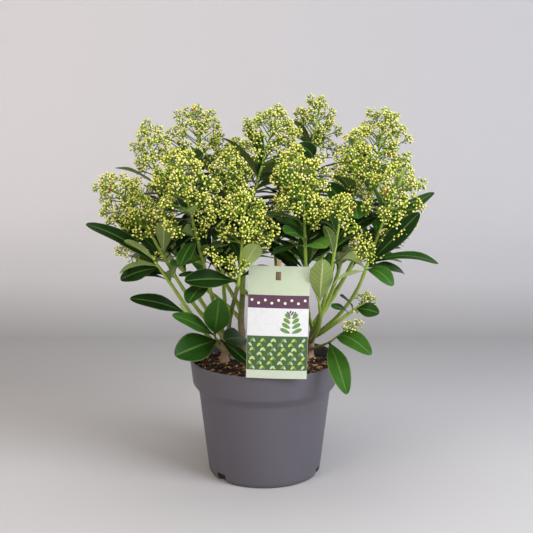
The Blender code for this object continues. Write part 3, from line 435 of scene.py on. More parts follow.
def ramp(tree, value, low, high, to_low=0.0, to_high=1.0):
    """A value stretched, smoothly, from one range to another."""
    stretch = add(tree, "ShaderNodeMapRange", {"interpolation_type": "SMOOTHSTEP"}, Value=value,
                  From_Min=low, From_Max=high, To_Min=to_low, To_Max=to_high)
    return stretch.outputs["Result"]


def even_ramp(tree, value, low, high):
    """A value stretched, evenly, from a range to 0 to 1."""
    stretch = add(tree, "ShaderNodeMapRange", Value=value, From_Min=low, From_Max=high)
    return stretch.outputs["Result"]


def grain(tree, size, detail=3.0, stretch=(1.0, 1.0, 1.0)):
    """Noise whose spots are a size in mm across, in the piece's own frame."""
    place = add(tree, "ShaderNodeTexCoord")
    scaled = add(tree, "ShaderNodeMapping", Vector=place.outputs["Object"], Scale=stretch)
    spots = add(tree, "ShaderNodeTexNoise", Vector=scaled, Scale=1.0 / (size * MM), Detail=detail,
                Roughness=0.55)
    return spots.outputs["Fac"]


def own_place(tree):
    """The shaded point's place in the piece's own frame, as outputs X, Y and Z."""
    place = add(tree, "ShaderNodeTexCoord")
    return add(tree, "ShaderNodeSeparateXYZ", Vector=place.outputs["Object"]).outputs


def bump(tree, shader, height, depth, strength=1.0):
    """Relief of a depth in mm on a shader."""
    relief = add(tree, "ShaderNodeBump", Height=height, Distance=depth * MM, Strength=strength)
    tree.links.new(relief.outputs["Normal"], shader.inputs["Normal"])


# Materials

def moulded_polypropylene(colour):
    """Injection-moulded polypropylene: satin, with a faint flow mottle and a dusting of compost in patches.
    """
    material, tree, shader = new_material("moulded_polypropylene", Roughness=0.46, IOR=1.49)
    mottle = grain(tree, 22.0, 4.0, (1.0, 1.0, 0.35))
    fine = grain(tree, 1.6, 2.0)
    darker = tuple(channel * 0.86 for channel in colour)
    plastic = blend(tree, (*darker, 1.0), (*colour, 1.0), mottle)
    dust = ramp(tree, grain(tree, 3.0, 4.0), 0.62, 0.78, 0.0, 0.28)
    shade = blend(tree, plastic, "#8d857c", dust)
    tree.links.new(shade, shader.inputs["Base Color"])
    tree.links.new(ramp(tree, mottle, 0.3, 0.7, 0.42, 0.52), shader.inputs["Roughness"])
    bump(tree, shader, fine, 0.06, 0.35)
    return material


def damp_compost():
    """Peat and bark compost: nearly black, fibrous and matt."""
    material, tree, shader = new_material("damp_compost", Roughness=0.92)
    colour = blend(tree, "#080402", "#2a1a10", grain(tree, 2.6, 5.0))
    tree.links.new(colour, shader.inputs["Base Color"])
    bump(tree, shader, grain(tree, 1.1, 4.0), 0.9)
    return material


def bark_chip(name, dark, light):
    """Shredded bark: a torn, fibrous face, grained along the chip."""
    material, tree, shader = new_material(name, Roughness=0.85)
    colour = blend(tree, dark, light, grain(tree, 1.4, 4.0, (1.0, 3.0, 3.0)))
    tree.links.new(colour, shader.inputs["Base Color"])
    bump(tree, shader, grain(tree, 0.6, 3.0), 0.25)
    return material


def printed_ink(name, colour, paler):
    """Offset ink under a matt varnish: even, with a faint unevenness of the paper below."""
    material, tree, shader = new_material(name, Roughness=0.42, IOR=1.5)
    tree.links.new(blend(tree, colour, paler, grain(tree, 4.0, 3.0)), shader.inputs["Base Color"])
    bump(tree, shader, grain(tree, 0.5, 2.0), 0.01, 0.3)
    return material


def sawn_birch():
    """Sawn birch stick: pale, with long fine grain along its height."""
    material, tree, shader = new_material("sawn_birch", Roughness=0.66)
    colour = blend(tree, "#a9814f", "#dcbf8e", grain(tree, 1.2, 4.0, (1.0, 1.0, 0.05)))
    tree.links.new(colour, shader.inputs["Base Color"])
    bump(tree, shader, grain(tree, 0.6, 2.0, (1.0, 1.0, 0.04)), 0.12)
    return material


def woody_bark():
    """Young skimmia bark: fawn and finely cracked at the foot, greener where it carries boughs."""
    material, tree, shader = new_material("woody_bark", Roughness=0.78)
    height = own_place(tree)["Z"]
    cracks = grain(tree, 2.4, 5.0, (1.0, 1.0, 0.3))
    wood = blend(tree, "#76604a", "#bba283", cracks)
    green = blend(tree, "#5f6b30", "#8b9248", cracks)
    colour = blend(tree, wood, green, ramp(tree, height, 0.150, 0.205))
    tree.links.new(colour, shader.inputs["Base Color"])
    bump(tree, shader, cracks, 0.5)
    return material


def green_bark():
    """Green twig bark: smooth and a little waxy, browner in its older, lower reach."""
    material, tree, shader = new_material("green_bark", Roughness=0.5, IOR=1.45)
    height = own_place(tree)["Z"]
    streaks = grain(tree, 3.2, 4.0, (1.0, 1.0, 0.25))
    old = blend(tree, "#76803a", "#a8a866", streaks)
    young = blend(tree, "#7a9c2c", "#b2c85a", streaks)
    colour = blend(tree, old, young, ramp(tree, height, 0.140, 0.175))
    tree.links.new(colour, shader.inputs["Base Color"])
    bump(tree, shader, streaks, 0.18)
    return material


def fleshy_stalk(name, dark, light):
    """Flower stalk: thin, fleshy and lime green."""
    material, tree, shader = new_material(name, Roughness=0.5, IOR=1.42)
    tree.links.new(blend(tree, dark, light, grain(tree, 6.0, 2.0)), shader.inputs["Base Color"])
    return material


def leaf_pattern(tree):
    """Masks from the leaf's own map: along, how far off the midrib, midrib, rim and side veins."""
    place = add(tree, "ShaderNodeUVMap", {"uv_map": "blade"})
    parts = add(tree, "ShaderNodeSeparateXYZ", Vector=place.outputs["UV"])
    centred = add(tree, "ShaderNodeMath", {"operation": "MULTIPLY_ADD"},
                  Value=parts.outputs["Y"], Value_001=2.0, Value_002=-1.0)
    off = add(tree, "ShaderNodeMath", {"operation": "ABSOLUTE"}, Value=centred)
    midrib = ramp(tree, off.outputs["Value"], 0.03, 0.11, 1.0, 0.0)
    rim = ramp(tree, off.outputs["Value"], 0.88, 0.98)
    slanted = add(tree, "ShaderNodeMath", {"operation": "MULTIPLY_ADD"},
                  Value=off, Value_001=-0.16, Value_002=parts.outputs["X"])
    waves = add(tree, "ShaderNodeMath", {"operation": "MULTIPLY"}, Value=slanted,
                Value_001=LEAF_VEINS)
    veins = add(tree, "ShaderNodeMath", {"operation": "SINE"}, Value=waves)
    return midrib, rim, ramp(tree, veins.outputs["Value"], 0.72, 1.0)


def leaf_upper(name, deep, fresh):
    """Upper face of a leathery leaf: dark, waxy and glossy, with a paler midrib and a thin pale rim."""
    material, tree, shader = new_material(name, Roughness=0.38, IOR=1.4, Specular_IOR_Level=0.13)
    midrib, rim, veins = leaf_pattern(tree)
    body = blend(tree, deep, fresh, grain(tree, 16.0, 3.0))
    body = blend(tree, body, fresh, ramp(tree, veins, 0.0, 1.0, 0.0, 0.22))
    body = blend(tree, body, "#7f9a52", ramp(tree, midrib, 0.0, 1.0, 0.0, 0.34))
    body = blend(tree, body, "#a9b878", ramp(tree, rim, 0.0, 1.0, 0.0, 0.22))
    tree.links.new(body, shader.inputs["Base Color"])
    height = add(tree, "ShaderNodeMath", {"operation": "MULTIPLY_ADD"},
                 Value=veins, Value_001=-0.35, Value_002=grain(tree, 3.0, 3.0))
    bump(tree, shader, height.outputs["Value"], 0.22, 0.6)
    return material


def leaf_under(name, deep, fresh):
    """Under face of a leaf: pale, matt olive, with the midrib and side veins standing out."""
    material, tree, shader = new_material(name, Roughness=0.58, IOR=1.42)
    midrib, _, veins = leaf_pattern(tree)
    body = blend(tree, deep, fresh, grain(tree, 14.0, 3.0))
    body = blend(tree, body, "#c6cf93", ramp(tree, midrib, 0.0, 1.0, 0.0, 0.75))
    body = blend(tree, body, "#b7c27f", ramp(tree, veins, 0.0, 1.0, 0.0, 0.3))
    tree.links.new(body, shader.inputs["Base Color"])
    height = add(tree, "ShaderNodeMath", {"operation": "ADD"}, Value=veins, Value_001=midrib)
    bump(tree, shader, height.outputs["Value"], 0.2, 0.6)
    return material


def closed_bud(name, foot, light):
    """Closed flower bud: a waxy bead, green in its cup and cream towards its tip."""
    material, tree, shader = new_material(name, Roughness=0.45, IOR=1.42)
    height = add(tree, "ShaderNodeAttribute", {"attribute_name": "tipward"})
    tipward = ramp(tree, height.outputs["Fac"], -0.42, 0.12)
    tree.links.new(blend(tree, foot, light, tipward), shader.inputs["Base Color"])
    return material


def studio_paper():
    """Studio sweep: matt pale card, with painted shade in a band behind the plant where the table's light
    ends, and the lights' tints painted to left and right.
    """
    material, tree, shader = new_material("studio_paper", Roughness=0.9)
    place = own_place(tree)
    # painted shade: the paper's tone dips where the table's light falls away behind the plant
    first = STAGE_PAINTED_FALLOFF[0][0]
    span = STAGE_PAINTED_FALLOFF[-1][0] - first
    painted_falloff = add(tree, "ShaderNodeValToRGB", Fac=even_ramp(tree, place["Y"], first, first + span))
    colours = painted_falloff.color_ramp
    for element in list(colours.elements)[1:]:
        colours.elements.remove(element)
    colours.elements[0].position = 0.0
    colours.elements[0].color = rgba(STAGE_PAINTED_FALLOFF[0][1])
    for distance, tone in STAGE_PAINTED_FALLOFF[1:]:
        colours.elements.new((distance - first) / span).color = rgba(tone)
    # painted light: the warm fill's tint on the left and the cool key's on the right
    sideways = even_ramp(tree, place["X"], -STAGE_SIDE_REACH, STAGE_SIDE_REACH)
    side = blend(tree, *STAGE_PAINTED_SIDE_LIGHT, sideways)
    both = blend(tree, painted_falloff.outputs["Color"], side, 1.0, "MULTIPLY")
    tree.links.new(both, shader.inputs["Base Color"])
    return material


# Vectors and paths

def vec(*numbers):
    """A point or vector as an array."""
    return np.array(numbers, dtype=float)


def unit(vector):
    """The vector's direction, one long."""
    return vector / np.linalg.norm(vector)


def turned(vector, axis, angle):
    """The vector turned about a unit axis."""
    along = axis * np.dot(axis, vector)
    across = vector - along
    return along + across * math.cos(angle) + np.cross(axis, across) * math.sin(angle)


def square_to(vector, axis):
    """The part of the vector square to a unit axis, as a unit vector."""
    return unit(vector - axis * np.dot(axis, vector))


def bezier(a, b, c, d, count):
    """Points along a cubic curve."""
    t = np.linspace(0.0, 1.0, count)[:, None]
    s = 1.0 - t
    return s ** 3 * a + 3 * s * s * t * b + 3 * s * t * t * c + t ** 3 * d


def point_at(path, share):
    """The point, and the direction there, at a share of a path's length."""
    steps = np.diff(path, axis=0)
    lengths = np.linalg.norm(steps, axis=1)
    left = share * lengths.sum()
    for i, length in enumerate(lengths):
        if left <= length or i == len(lengths) - 1:
            return path[i] + steps[i] * min(left / length, 1.0), steps[i] / length
        left -= length


def spaced(path, step):
    """Points along a path, at most a step apart."""
    points = [path[:1]]
    for a, b in zip(path[:-1], path[1:]):
        count = max(1, math.ceil(np.linalg.norm(b - a) / step))
        points.append(a + (b - a) * (np.arange(1, count + 1) / count)[:, None])
    return np.concatenate(points)


def rounded(path, step):
    """A smooth line through a path's points, about a step between its own."""
    padded = np.concatenate([[2 * path[0] - path[1]], path, [2 * path[-1] - path[-2]]])
    points = [path[:1]]
    for a, b, c, d in zip(padded[:-3], padded[1:-2], padded[2:-1], padded[3:]):
        count = max(1, math.ceil(np.linalg.norm(c - b) / step))
        t = (np.arange(1, count + 1) / count)[:, None]
        points.append(0.5 * (2 * b + (c - a) * t + (2 * a - 5 * b + 4 * c - d) * t * t
                             + (3 * b - a - 3 * c + d) * t ** 3))
    return np.concatenate(points)


def lengths_along(path):
    """Each point's distance along a path."""
    return np.concatenate([[0.0], np.cumsum(np.linalg.norm(np.diff(path, axis=0), axis=1))])


def taper(path, first, last):
    """Radii along a path that shrink evenly from first to last."""
    lengths = lengths_along(path)
    return first + (last - first) * lengths / lengths[-1]


def radius_in(profile, z):
    """The radius of a turned outline at a height."""
    radii = [point[0] for point in profile]
    heights = [point[1] for point in profile]
    return np.interp(z, heights, radii)


# The plant's rule, as in the part: room that is taken

class Room:
    """Points on everything placed so far, each with the distance it keeps free and its owner."""

    def __init__(self):
        self.points = np.zeros((0, 3))
        self.keep = np.zeros(0)
        self.owner = np.zeros(0, dtype=int)

    def add(self, points, keep, owner):
        self.points = np.concatenate([self.points, points])
        self.keep = np.concatenate([self.keep, np.broadcast_to(keep, len(points))])
        self.owner = np.concatenate([self.owner, np.full(len(points), owner)])

    def free(self, points, keep, owner=None):
        """True where the points keep clear of everything, or of every other owner's points."""
        if not len(points):
            return True
        margin = keep + SEARCH_MARGIN
        near = np.all(self.points > points.min(axis=0) - margin, axis=1)
        near &= np.all(self.points < points.max(axis=0) + margin, axis=1)
        if owner is not None:
            near &= self.owner != owner
        if not near.any():
            return True
        apart = np.linalg.norm(points[:, None, :] - self.points[near][None, :, :], axis=2)
        return bool(np.all(apart > self.keep[near][None, :] + keep))


def clear_of_pot(points, keep):
    """True where the points stay out of the pot's wall and the compost."""
    radius = np.hypot(points[:, 0], points[:, 1])
    z = points[:, 2]
    outside = radius > radius_in(POT_PROFILE, z) + keep
    inside = (radius < POT_PROFILE[-1][0] - POT_WALL - keep - WALL_KEEP) & (z > SOIL_TOP + keep)
    return bool(np.all(outside | inside | (z > POT_HEIGHT + keep)))


def sight_lines(points):
    """Points strung from each point towards the viewer."""
    towards = vec(*VIEWER) - points
    towards /= np.linalg.norm(towards, axis=1)[:, None]
    reaches = np.arange(SIGHT_STEP, SIGHT_LENGTH, SIGHT_STEP)
    return np.concatenate([points + towards * reach for reach in reaches])


# The plant's rule: limbs and shoots

Limb = namedtuple("Limb", "path radii")
Spray = namedtuple("Spray", "start end bead")
Mass = namedtuple("Mass", "path leaves sprays")
Blade = namedtuple("Blade", "base tip width bow face")
Bloom = namedtuple("Bloom", "owner foot tip spread main")


def stem_path(stem, count):
    """A stem from its flat foot on the compost, through its middle, to its top."""
    foot = vec(*stem.foot, SOIL_TOP + FIT)
    first = foot + vec(0, 0, STEM_RISE)
    mid = vec(*stem.mid)
    top = vec(*stem.top)
    straight, pull = STEM_BEND
    below = mid - unit(top - foot) * straight
    lower = bezier(first, first + vec(0, 0, straight), below, mid, count)
    upper = bezier(mid, mid + (mid - first) * pull, top - (top - mid) * pull, top, count)
    return np.concatenate([foot[None], lower, upper[1:]])


def bough_path(start, leaving, neck, heading, count):
    """A bough from its limb to its shoot's neck, ending straight along the shoot."""
    span = np.linalg.norm(neck - start)
    end = neck - heading * BOUGH_STRAIGHT_END
    pulled = (start + leaving * span * BOUGH_LEAVING, end - heading * span * BOUGH_ARRIVING)
    return np.concatenate([bezier(start, *pulled, end, count), neck[None]])


def grow_limbs(count):
    """All stems and boughs, each with a count of points to a curve."""
    coarse = {} if count == 4 else grow_limbs(4)
    limbs = {}
    for name, stem in STEMS.items():
        path = stem_path(stem, count)
        radii = taper(path, stem.foot_radius, stem.top_radius)
        if count == 4:
            radii[0] *= FLARE
        limbs[name] = Limb(path, radii)
    for name, shoot in SHOOTS.items():
        if name in ON_LIMB:
            continue
        parent = coarse.get(shoot.limb) or limbs[shoot.limb]
        start, rising = point_at(parent.path, shoot.along)
        neck = vec(*shoot.neck)
        outward = unit(square_to(neck - start, rising) + rising * BOUGH_UPWARD)
        heading = unit(vec(*shoot.foot) - neck)
        path = bough_path(start, outward, neck, heading, count)
        limbs["bough_" + name] = Limb(path, taper(path, BOUGH_FOOT_RADIUS, BOUGH_TIP_RADIUS))
    return limbs


def shoot_path(name, shoot, limbs):
    """A shoot's own stem: from its neck, or clear of its limb's bark, up to the bloom's tip."""
    foot = vec(*shoot.foot)
    tip = vec(*shoot.tip)
    neck = vec(*shoot.neck)
    if name in ON_LIMB and shoot.along < 1.0:
        limb = limbs[shoot.limb]
        start, rising = point_at(limb.path, shoot.along)
        heading = unit(neck - start)
        slant = abs(np.dot(heading, rising))
        thickness = limb.radii[0] / FLARE + FIT + BOUGH_TIP_RADIUS * slant
        start = start + heading * thickness / math.sqrt(1.0 - slant * slant)
        return np.array([start, neck, foot, tip])
    if shoot.along == 1.0:
        end, rising = point_at(limbs[shoot.limb].path, 1.0)
        start = end + rising * FIT
        return np.array([start, start + rising * 4.0, foot, (foot + tip) / 2, tip])
    heading = unit(foot - neck)
    return np.array([neck + heading * FIT, (neck + foot) / 2, foot, (foot + tip) / 2, tip])


# The plant's rule: leaves

def leaf_outline(along):
    """Share of the half width: a narrow stalk, a wedge, widest past the middle, a blunt tip."""
    if along <= 0.0 or along >= 1.0:
        return 0.0
    rounding = LEAF_WEDGE - LEAF_BLUNTNESS * along
    return max(math.sin(math.pi * along ** LEAF_WIDEST) ** rounding, LEAF_STALK)


def leaf_point(blade, along, across=0.0, lift=0.0):
    """A point on a blade: along its length, across in half widths, lifted off its middle in mm."""
    chord = blade.tip - blade.base
    side = np.cross(unit(chord), blade.face)
    half = blade.width / 2 * leaf_outline(along)
    raised = 4 * along * (1 - along) * blade.bow + abs(across) * half * LEAF_FOLD + lift
    return blade.base + chord * along + side * across * half + blade.face * raised


def leaf_samples(blade, step=SAMPLE_STEP):
    """Points over a blade, with each one's distance from its root."""
    rows = max(4, round(np.linalg.norm(blade.tip - blade.base) / step))
    points = []
    for i in range(1, rows + 1):
        along = i / rows
        half = blade.width / 2 * leaf_outline(along)
        columns = max(1, math.ceil(2 * half / step))
        for j in range(columns + 1):
            points.append(leaf_point(blade, along, 2 * j / columns - 1))
    points = np.array(points)
    return points, np.linalg.norm(points - blade.base, axis=1)


def in_crown(point):
    """True where a point lies inside the crown's outline."""
    reach = radius_in(CROWN_PROFILE, point[2])
    return abs(point[0]) < CROWN_HALF_WIDTH and math.hypot(point[0], point[1]) < reach


def leaf_fits(blade, room, sight, owner, keep):
    """True where a blade hides nothing that shows, and touches only, at its root, its own shoot."""
    points, reach = leaf_samples(blade)
    if not clear_of_pot(points, keep):
        return False
    if not sight.free(points, SIGHT_KEEP):
        return False
    if owner is not None and not room.free(points, keep, owner):
        return False
    return room.free(points[reach > LEAF_ROOM], keep)


def grown_leaf(base, axis, bearing, rise, length, droop, room, sight, owner, keep, levels):
    """The first of the tries at a leaf that has room and ends between two levels, or None.

    Without an owner its root may touch."""
    sideways = square_to(vec(1, 0, 0.3), axis)
    for swing, factor in LEAF_TRIES:
        out = turned(sideways, axis, bearing + math.radians(swing))
        size = length * factor
        tip = base + (axis * math.cos(rise) + out * math.sin(rise)) * size
        tip[2] -= droop * size
        face = square_to(axis + vec(0, 0, 0.4), unit(tip - base))
        blade = Blade(base, tip, LEAF_SLIMNESS * size, LEAF_BOW * size, face)
        between = levels[0] < tip[2] < levels[1]
        if between and in_crown(tip) and leaf_fits(blade, room, sight, owner, keep):
            room.add(leaf_samples(blade)[0], keep, -3 if owner is None else owner)
            return blade
    return None


def rule_leaves(shoot, path, room, sight, owner, count, turn, scale, keep, levels=(-math.inf, math.inf)):
    """The whorl: leaves set round the stem below the bloom by the golden angle."""
    low = path[0]
    high = vec(*shoot.foot)
    stretch = np.linalg.norm(high - low)
    axis = unit(high - low)
    blades = []
    for i in range(count):
        share = i / max(count - 1, 1)
        base = low + axis * (LEAF_FIRST + (stretch - LEAF_FIRST - LEAF_LAST) * share)
        rise = LEAF_LOW_RISE + (LEAF_HIGH_RISE - LEAF_LOW_RISE) * share
        length = LEAF_LENGTH * scale * (1.0 - LEAF_SHORTENING * share)
        droop = LEAF_DROOP * (LEAF_DROOP_SPREAD - share)
        blades.append(grown_leaf(base, axis, math.radians(turn) + i * GOLDEN_ANGLE, rise, length, droop,
                                 room, sight, owner, keep, levels))
    return [blade for blade in blades if blade]


def bough_leaves(path, turn, room, sight):
    """Leaves along the upper reach of a bough, which shade the inside of the crown."""
    blades = []
    levels = (FILL_FROM_Z - FILL_HANG, path[-1][2] + FILL_ABOVE)
    for i in range(BOUGH_LEAVES):
        share = BOUGH_LEAVES_FROM + (1.0 - BOUGH_LEAVES_FROM) * (i + 0.5) / BOUGH_LEAVES
        base, axis = point_at(path, share)
        if base[2] < FILL_FROM_Z:
            continue
        bearing = math.radians(turn) + i * GOLDEN_ANGLE
        length = LEAF_LENGTH * BOUGH_LEAF_SCALE
        droop = LEAF_DROOP * BOUGH_LEAF_DROOP
        blades.append(grown_leaf(base, axis, bearing, LEAF_HIGH_RISE, length, droop, room, sight, None,
                                 FILL_LEAF_KEEP, levels))
    return [blade for blade in blades if blade]


def shown_leaf(leaf, path, room, owner):
    """A listed leaf, from its place on the shoot's stem to its tip."""
    base = point_at(path[:3], leaf.along)[0]
    tip = vec(*leaf.tip)
    tilt = math.radians(leaf.tilt)
    face = square_to(vec(0, -math.sin(tilt), math.cos(tilt)), unit(tip - base))
    blade = Blade(base, tip, leaf.width, leaf.bow, face)
    room.add(leaf_samples(blade)[0], LEAF_KEEP, owner)
    return blade


# The plant's rule: blooms

def bloom_half_width(height):
    """Share of a bloom's half width at a share of its height: a rounded cone."""
    return math.sqrt(max(0.0, 1.0 - ((height - BLOOM_WIDEST) / BLOOM_TAPER) ** 2))


def spray_places(foot, tip, spread, count):
    """Start and end of each spray of a bloom, from the stem in its middle outwards."""
    axis = unit(tip - foot)
    height = np.linalg.norm(tip - foot)
    across = square_to(vec(1, 0.2, 0.1), axis)
    for k in range(count + 1):
        share = 1.0 if k == count else (k + SPRAY_PHASE) / count
        depth = SPRAY_DEPTHS[k % len(SPRAY_DEPTHS)] * (share < 1.0)
        out = spread * bloom_half_width(share) * depth
        end = foot + axis * height * share + turned(across, axis, k * GOLDEN_ANGLE) * out
        yield foot + axis * max(STALK_START, height * share - out * STALK_RISE - STALK_START), end


def spray_count(foot, tip, spread, area, most):
    """How many sprays a bloom's surface has room for."""
    surface = math.pi * 2 * spread * np.linalg.norm(tip - foot) * BLOOM_FILLED
    return int(np.clip(surface / area, 2, most))


def bloom_sprays(foot, tip, spread, bead, most, room, owner):
    """The part's sprays of one bloom."""
    sprays = []
    for start, end in spray_places(foot, tip, spread, spray_count(foot, tip, spread, AREA_PER_SPRAY, most)):
        points = spaced(np.array([start, end]), STALK_STEP)
        keep = np.full(len(points), STALK_KEEP)
        keep[-1] = bead + BEAD_KEEP
        apart = all(room.free(points[i:i + 1], keep[i], owner) for i in range(len(points)))
        if apart and clear_of_pot(points[-1:], bead):
            sprays.append(Spray(start, end, bead))
            room.add(points, keep, owner)
    return sprays


def card_samples():
    """Points over the card and the stick."""
    matrix = card_matrix()
    points = []
    for x in np.arange(-CARD_WIDTH / 2, CARD_WIDTH / 2 + 1, SAMPLE_STEP):
        for z in np.arange(-2, CARD_HEIGHT + STICK_ABOVE_CARD, SAMPLE_STEP):
            points.append(matrix @ Vector((x, card_bow(x), z)))
    return np.array(points)


Plant = namedtuple("Plant", "limbs masses blooms fill")


@functools.lru_cache
def plant():
    """The whole plant: limbs, each mass as the part has it, its blooms, and the finer leaves."""
    limbs = grow_limbs(4)
    room = Room()
    sight = Room()
    for limb in limbs.values():
        room.add(spaced(limb.path, LIMB_STEP), limb.radii.max() + LIMB_KEEP, -1)
    room.add(card_samples(), CARD_KEEP, -2)
    sight.add(sight_lines(card_samples()), SIGHT_KEEP, -2)
    paths = {name: shoot_path(name, shoot, limbs) for name, shoot in SHOOTS.items()}
    owners = {name: i for i, name in enumerate(SHOOTS)}
    masses = {name: Mass(path, [], []) for name, path in paths.items()}
    blooms = []
    for name, path in paths.items():
        room.add(spaced(path, LIMB_STEP), BOUGH_TIP_RADIUS, owners[name])
    for leaf in SHOWN_LEAVES:
        blade = shown_leaf(leaf, paths[leaf.shoot], room, owners[leaf.shoot])
        sight.add(sight_lines(leaf_samples(blade)[0]), SIGHT_KEEP, -1)
        masses[leaf.shoot].leaves.append(blade)
    for name, shoot in SHOOTS.items():
        if shoot.spread:
            bloom = Bloom(name, vec(*shoot.foot), vec(*shoot.tip), shoot.spread, True)
            blooms.append(bloom)
            sprays = bloom_sprays(*bloom[1:4], BEAD_RADIUS, MOST_SPRAYS, room, owners[name])
            masses[name].sprays.extend(sprays)
    for name, foot, tip, spread in SIDE_BLOOMS:
        bloom = Bloom(name, vec(*foot), vec(*tip), spread, False)
        blooms.append(bloom)
        masses[name].sprays.append(Spray(bloom.foot, bloom.tip, SIDE_BEAD_RADIUS))
        sides = bloom_sprays(*bloom[1:4], SIDE_BEAD_RADIUS, MOST_SIDE_SPRAYS, room, owners[name])
        masses[name].sprays.extend(spray for spray in sides if not np.allclose(spray.end, bloom.tip))
    for name, shoot in SHOOTS.items():
        whorl = rule_leaves(shoot, paths[name], room, sight, owners[name], shoot.leaves, shoot.turn, 1.0,
                            LEAF_KEEP)
        masses[name].leaves.extend(whorl)
    for mass in masses.values():
        for spray in mass.sprays:
            sight.add(sight_lines(spray.end[None]), BLOOM_SIGHT_KEEP, -1)
    fill = {name: [] for name in SHOOTS}
    for name, shoot in SHOOTS.items():
        if shoot.spread:
            levels = (FILL_FROM_Z - FILL_HANG, shoot.foot[2] + FILL_ABOVE)
            fill[name].extend(rule_leaves(shoot, paths[name], room, sight, owners[name], FILL_LEAVES,
                                          shoot.turn + FILL_TURN, FILL_SCALE, FILL_LEAF_KEEP, levels))
        if "bough_" + name in limbs:
            fill[name].extend(bough_leaves(limbs["bough_" + name].path, shoot.turn, room, sight))
    return Plant(limbs, masses, blooms, fill)


# Finer growth: side twigs and buds

Growth = namedtuple("Growth", "stalks twigs buds")
Bud = namedtuple("Bud", "place aim size tone")


class Apart:
    """Places kept a distance from each other."""

    def __init__(self, distance):
        self.distance = distance
        self.cells = {}

    def take(self, place):
        """Takes the place and says so, unless one is taken too near it."""
        cell = tuple(int(math.floor(c / self.distance)) for c in place)
        for dx in (-1, 0, 1):
            for dy in (-1, 0, 1):
                for dz in (-1, 0, 1):
                    for other in self.cells.get((cell[0] + dx, cell[1] + dy, cell[2] + dz), ()):
                        if np.linalg.norm(place - other) < self.distance:
                            return False
        self.cells.setdefault(cell, []).append(place)
        return True


def fine_sprays(bloom, coarse, leaf_tree, rng):
    """The part's sprays of a bloom, with more set between them where there is room."""
    taken = Apart(FINE_APART if bloom.main else SIDE_APART)
    sprays = []
    for spray in coarse:
        taken.take(spray.end)
        sprays.append(spray)
    count = spray_count(bloom.foot, bloom.tip, bloom.spread, FINE_AREA_PER_SPRAY, FINE_MOST_SPRAYS)
    bead = FINE_BEAD_RADIUS if bloom.main else SIDE_BEAD_RADIUS
    for start, end in spray_places(bloom.foot, bloom.tip, bloom.spread, count):
        end = start + (end - start) * rng.uniform(*SPRAY_REACH)
        if leaf_tree.find(Vector(end))[2] > SPRAY_OFF_LEAF and taken.take(end):
            sprays.append(Spray(start, end, bead * rng.uniform(*SPRAY_SIZES)))
    return sprays


def spray_growth(spray, rng, growth, leaf_tree, taken):
    """One spray's stalk, the twigs that fan out from its end, and the buds on each."""
    run = spray.end - spray.start
    length = np.linalg.norm(run)
    axis = run / length
    across = square_to(vec(0.3, 1.0, 0.2), axis)
    reach = spray.bead
    middle = spray.start + run * 0.5 + axis * 0.2
    growth.stalks.append((np.array([spray.start, middle, spray.end]), *STALK_RADII))
    count = round(TWIGS_PER_SPRAY * reach / FINE_BEAD_RADIUS)
    for k in range(count):
        share = (k + 0.5) / count
        lean = math.radians(TWIG_LEAN[0] + TWIG_LEAN[1] * share)
        out = turned(across, axis, k * GOLDEN_ANGLE + rng.uniform(-TWIG_JITTER, TWIG_JITTER))
        heading = axis * math.cos(lean) + out * math.sin(lean)
        base = spray.end - axis * reach * (TWIG_START[0] + TWIG_START[1] * share)
        knot = base + heading * reach * rng.uniform(*TWIG_REACH)
        growth.twigs.append((np.array([base, knot]), *TWIG_RADII))
        side = square_to(vec(0.2, 0.3, 1.0), heading)
        for j in range(BUDS_PER_TWIG + 1):
            splay = 0.0 if j == BUDS_PER_TWIG else TWIG_SPLAY
            round_turn = j * 2 * math.pi / BUDS_PER_TWIG
            branch = turned(side, heading, round_turn + rng.uniform(-BUD_JITTER, BUD_JITTER))
            aim = heading * math.cos(splay) + branch * math.sin(splay)
            place = knot + aim * rng.uniform(*BUD_REACH)
            near = leaf_tree.find(Vector(place))[2]
            if near < BUD_OFF_LEAF or not taken.take(place):
                continue
            growth.twigs.append((np.array([knot, place]), *BUD_TWIG_RADII))
            aim = unit(aim + vec(0, 0, BUD_UPTURN))
            size = rng.uniform(*BUD_SIZES)
            tone = int(rng.choice(len(BUD_TONE_SHARES), p=BUD_TONE_SHARES))
            growth.buds.append(Bud(place, aim, size, tone))


@functools.lru_cache
def flowers():
    """All stalks, twigs and buds of the plant."""
    grown = plant()
    rng = np.random.default_rng(SEED)
    blades = [blade for mass in grown.masses.values() for blade in mass.leaves]
    blades += [blade for group in grown.fill.values() for blade in group]
    samples = np.concatenate([leaf_samples(blade, 2.5)[0] for blade in blades])
    leaf_tree = kdtree.KDTree(len(samples))
    for i, point in enumerate(samples):
        leaf_tree.insert(Vector(point), i)
    leaf_tree.balance()
    growth = Growth([], [], [])
    taken = Apart(BUD_APART)
    for bloom in grown.blooms:
        sprays = grown.masses[bloom.owner].sprays
        if bloom.main:
            coarse = [spray for spray in sprays if spray.bead == BEAD_RADIUS]
        else:
            coarse = [spray for spray in sprays if spray.bead == SIDE_BEAD_RADIUS
                      and np.linalg.norm(spray.start - bloom.foot) < np.linalg.norm(bloom.tip - bloom.foot)]
        for spray in fine_sprays(bloom, coarse, leaf_tree, rng):
            spray_growth(spray, rng, growth, leaf_tree, taken)
    places = np.array([bud.place for bud in growth.buds])
    for spot in RED_BUDS:
        nearest = int(np.argmin(np.linalg.norm(places - vec(*spot), axis=1)))
        growth.buds[nearest] = growth.buds[nearest]._replace(tone=len(BUD_TONE_SHARES), size=RED_SIZE)
    return growth


# Mesh helpers

def new_object(name, mesh):
    """An object for a mesh, a light or a camera, in the scene."""
    thing = bpy.data.objects.new(name, mesh)
    bpy.context.scene.collection.objects.link(thing)
    return thing


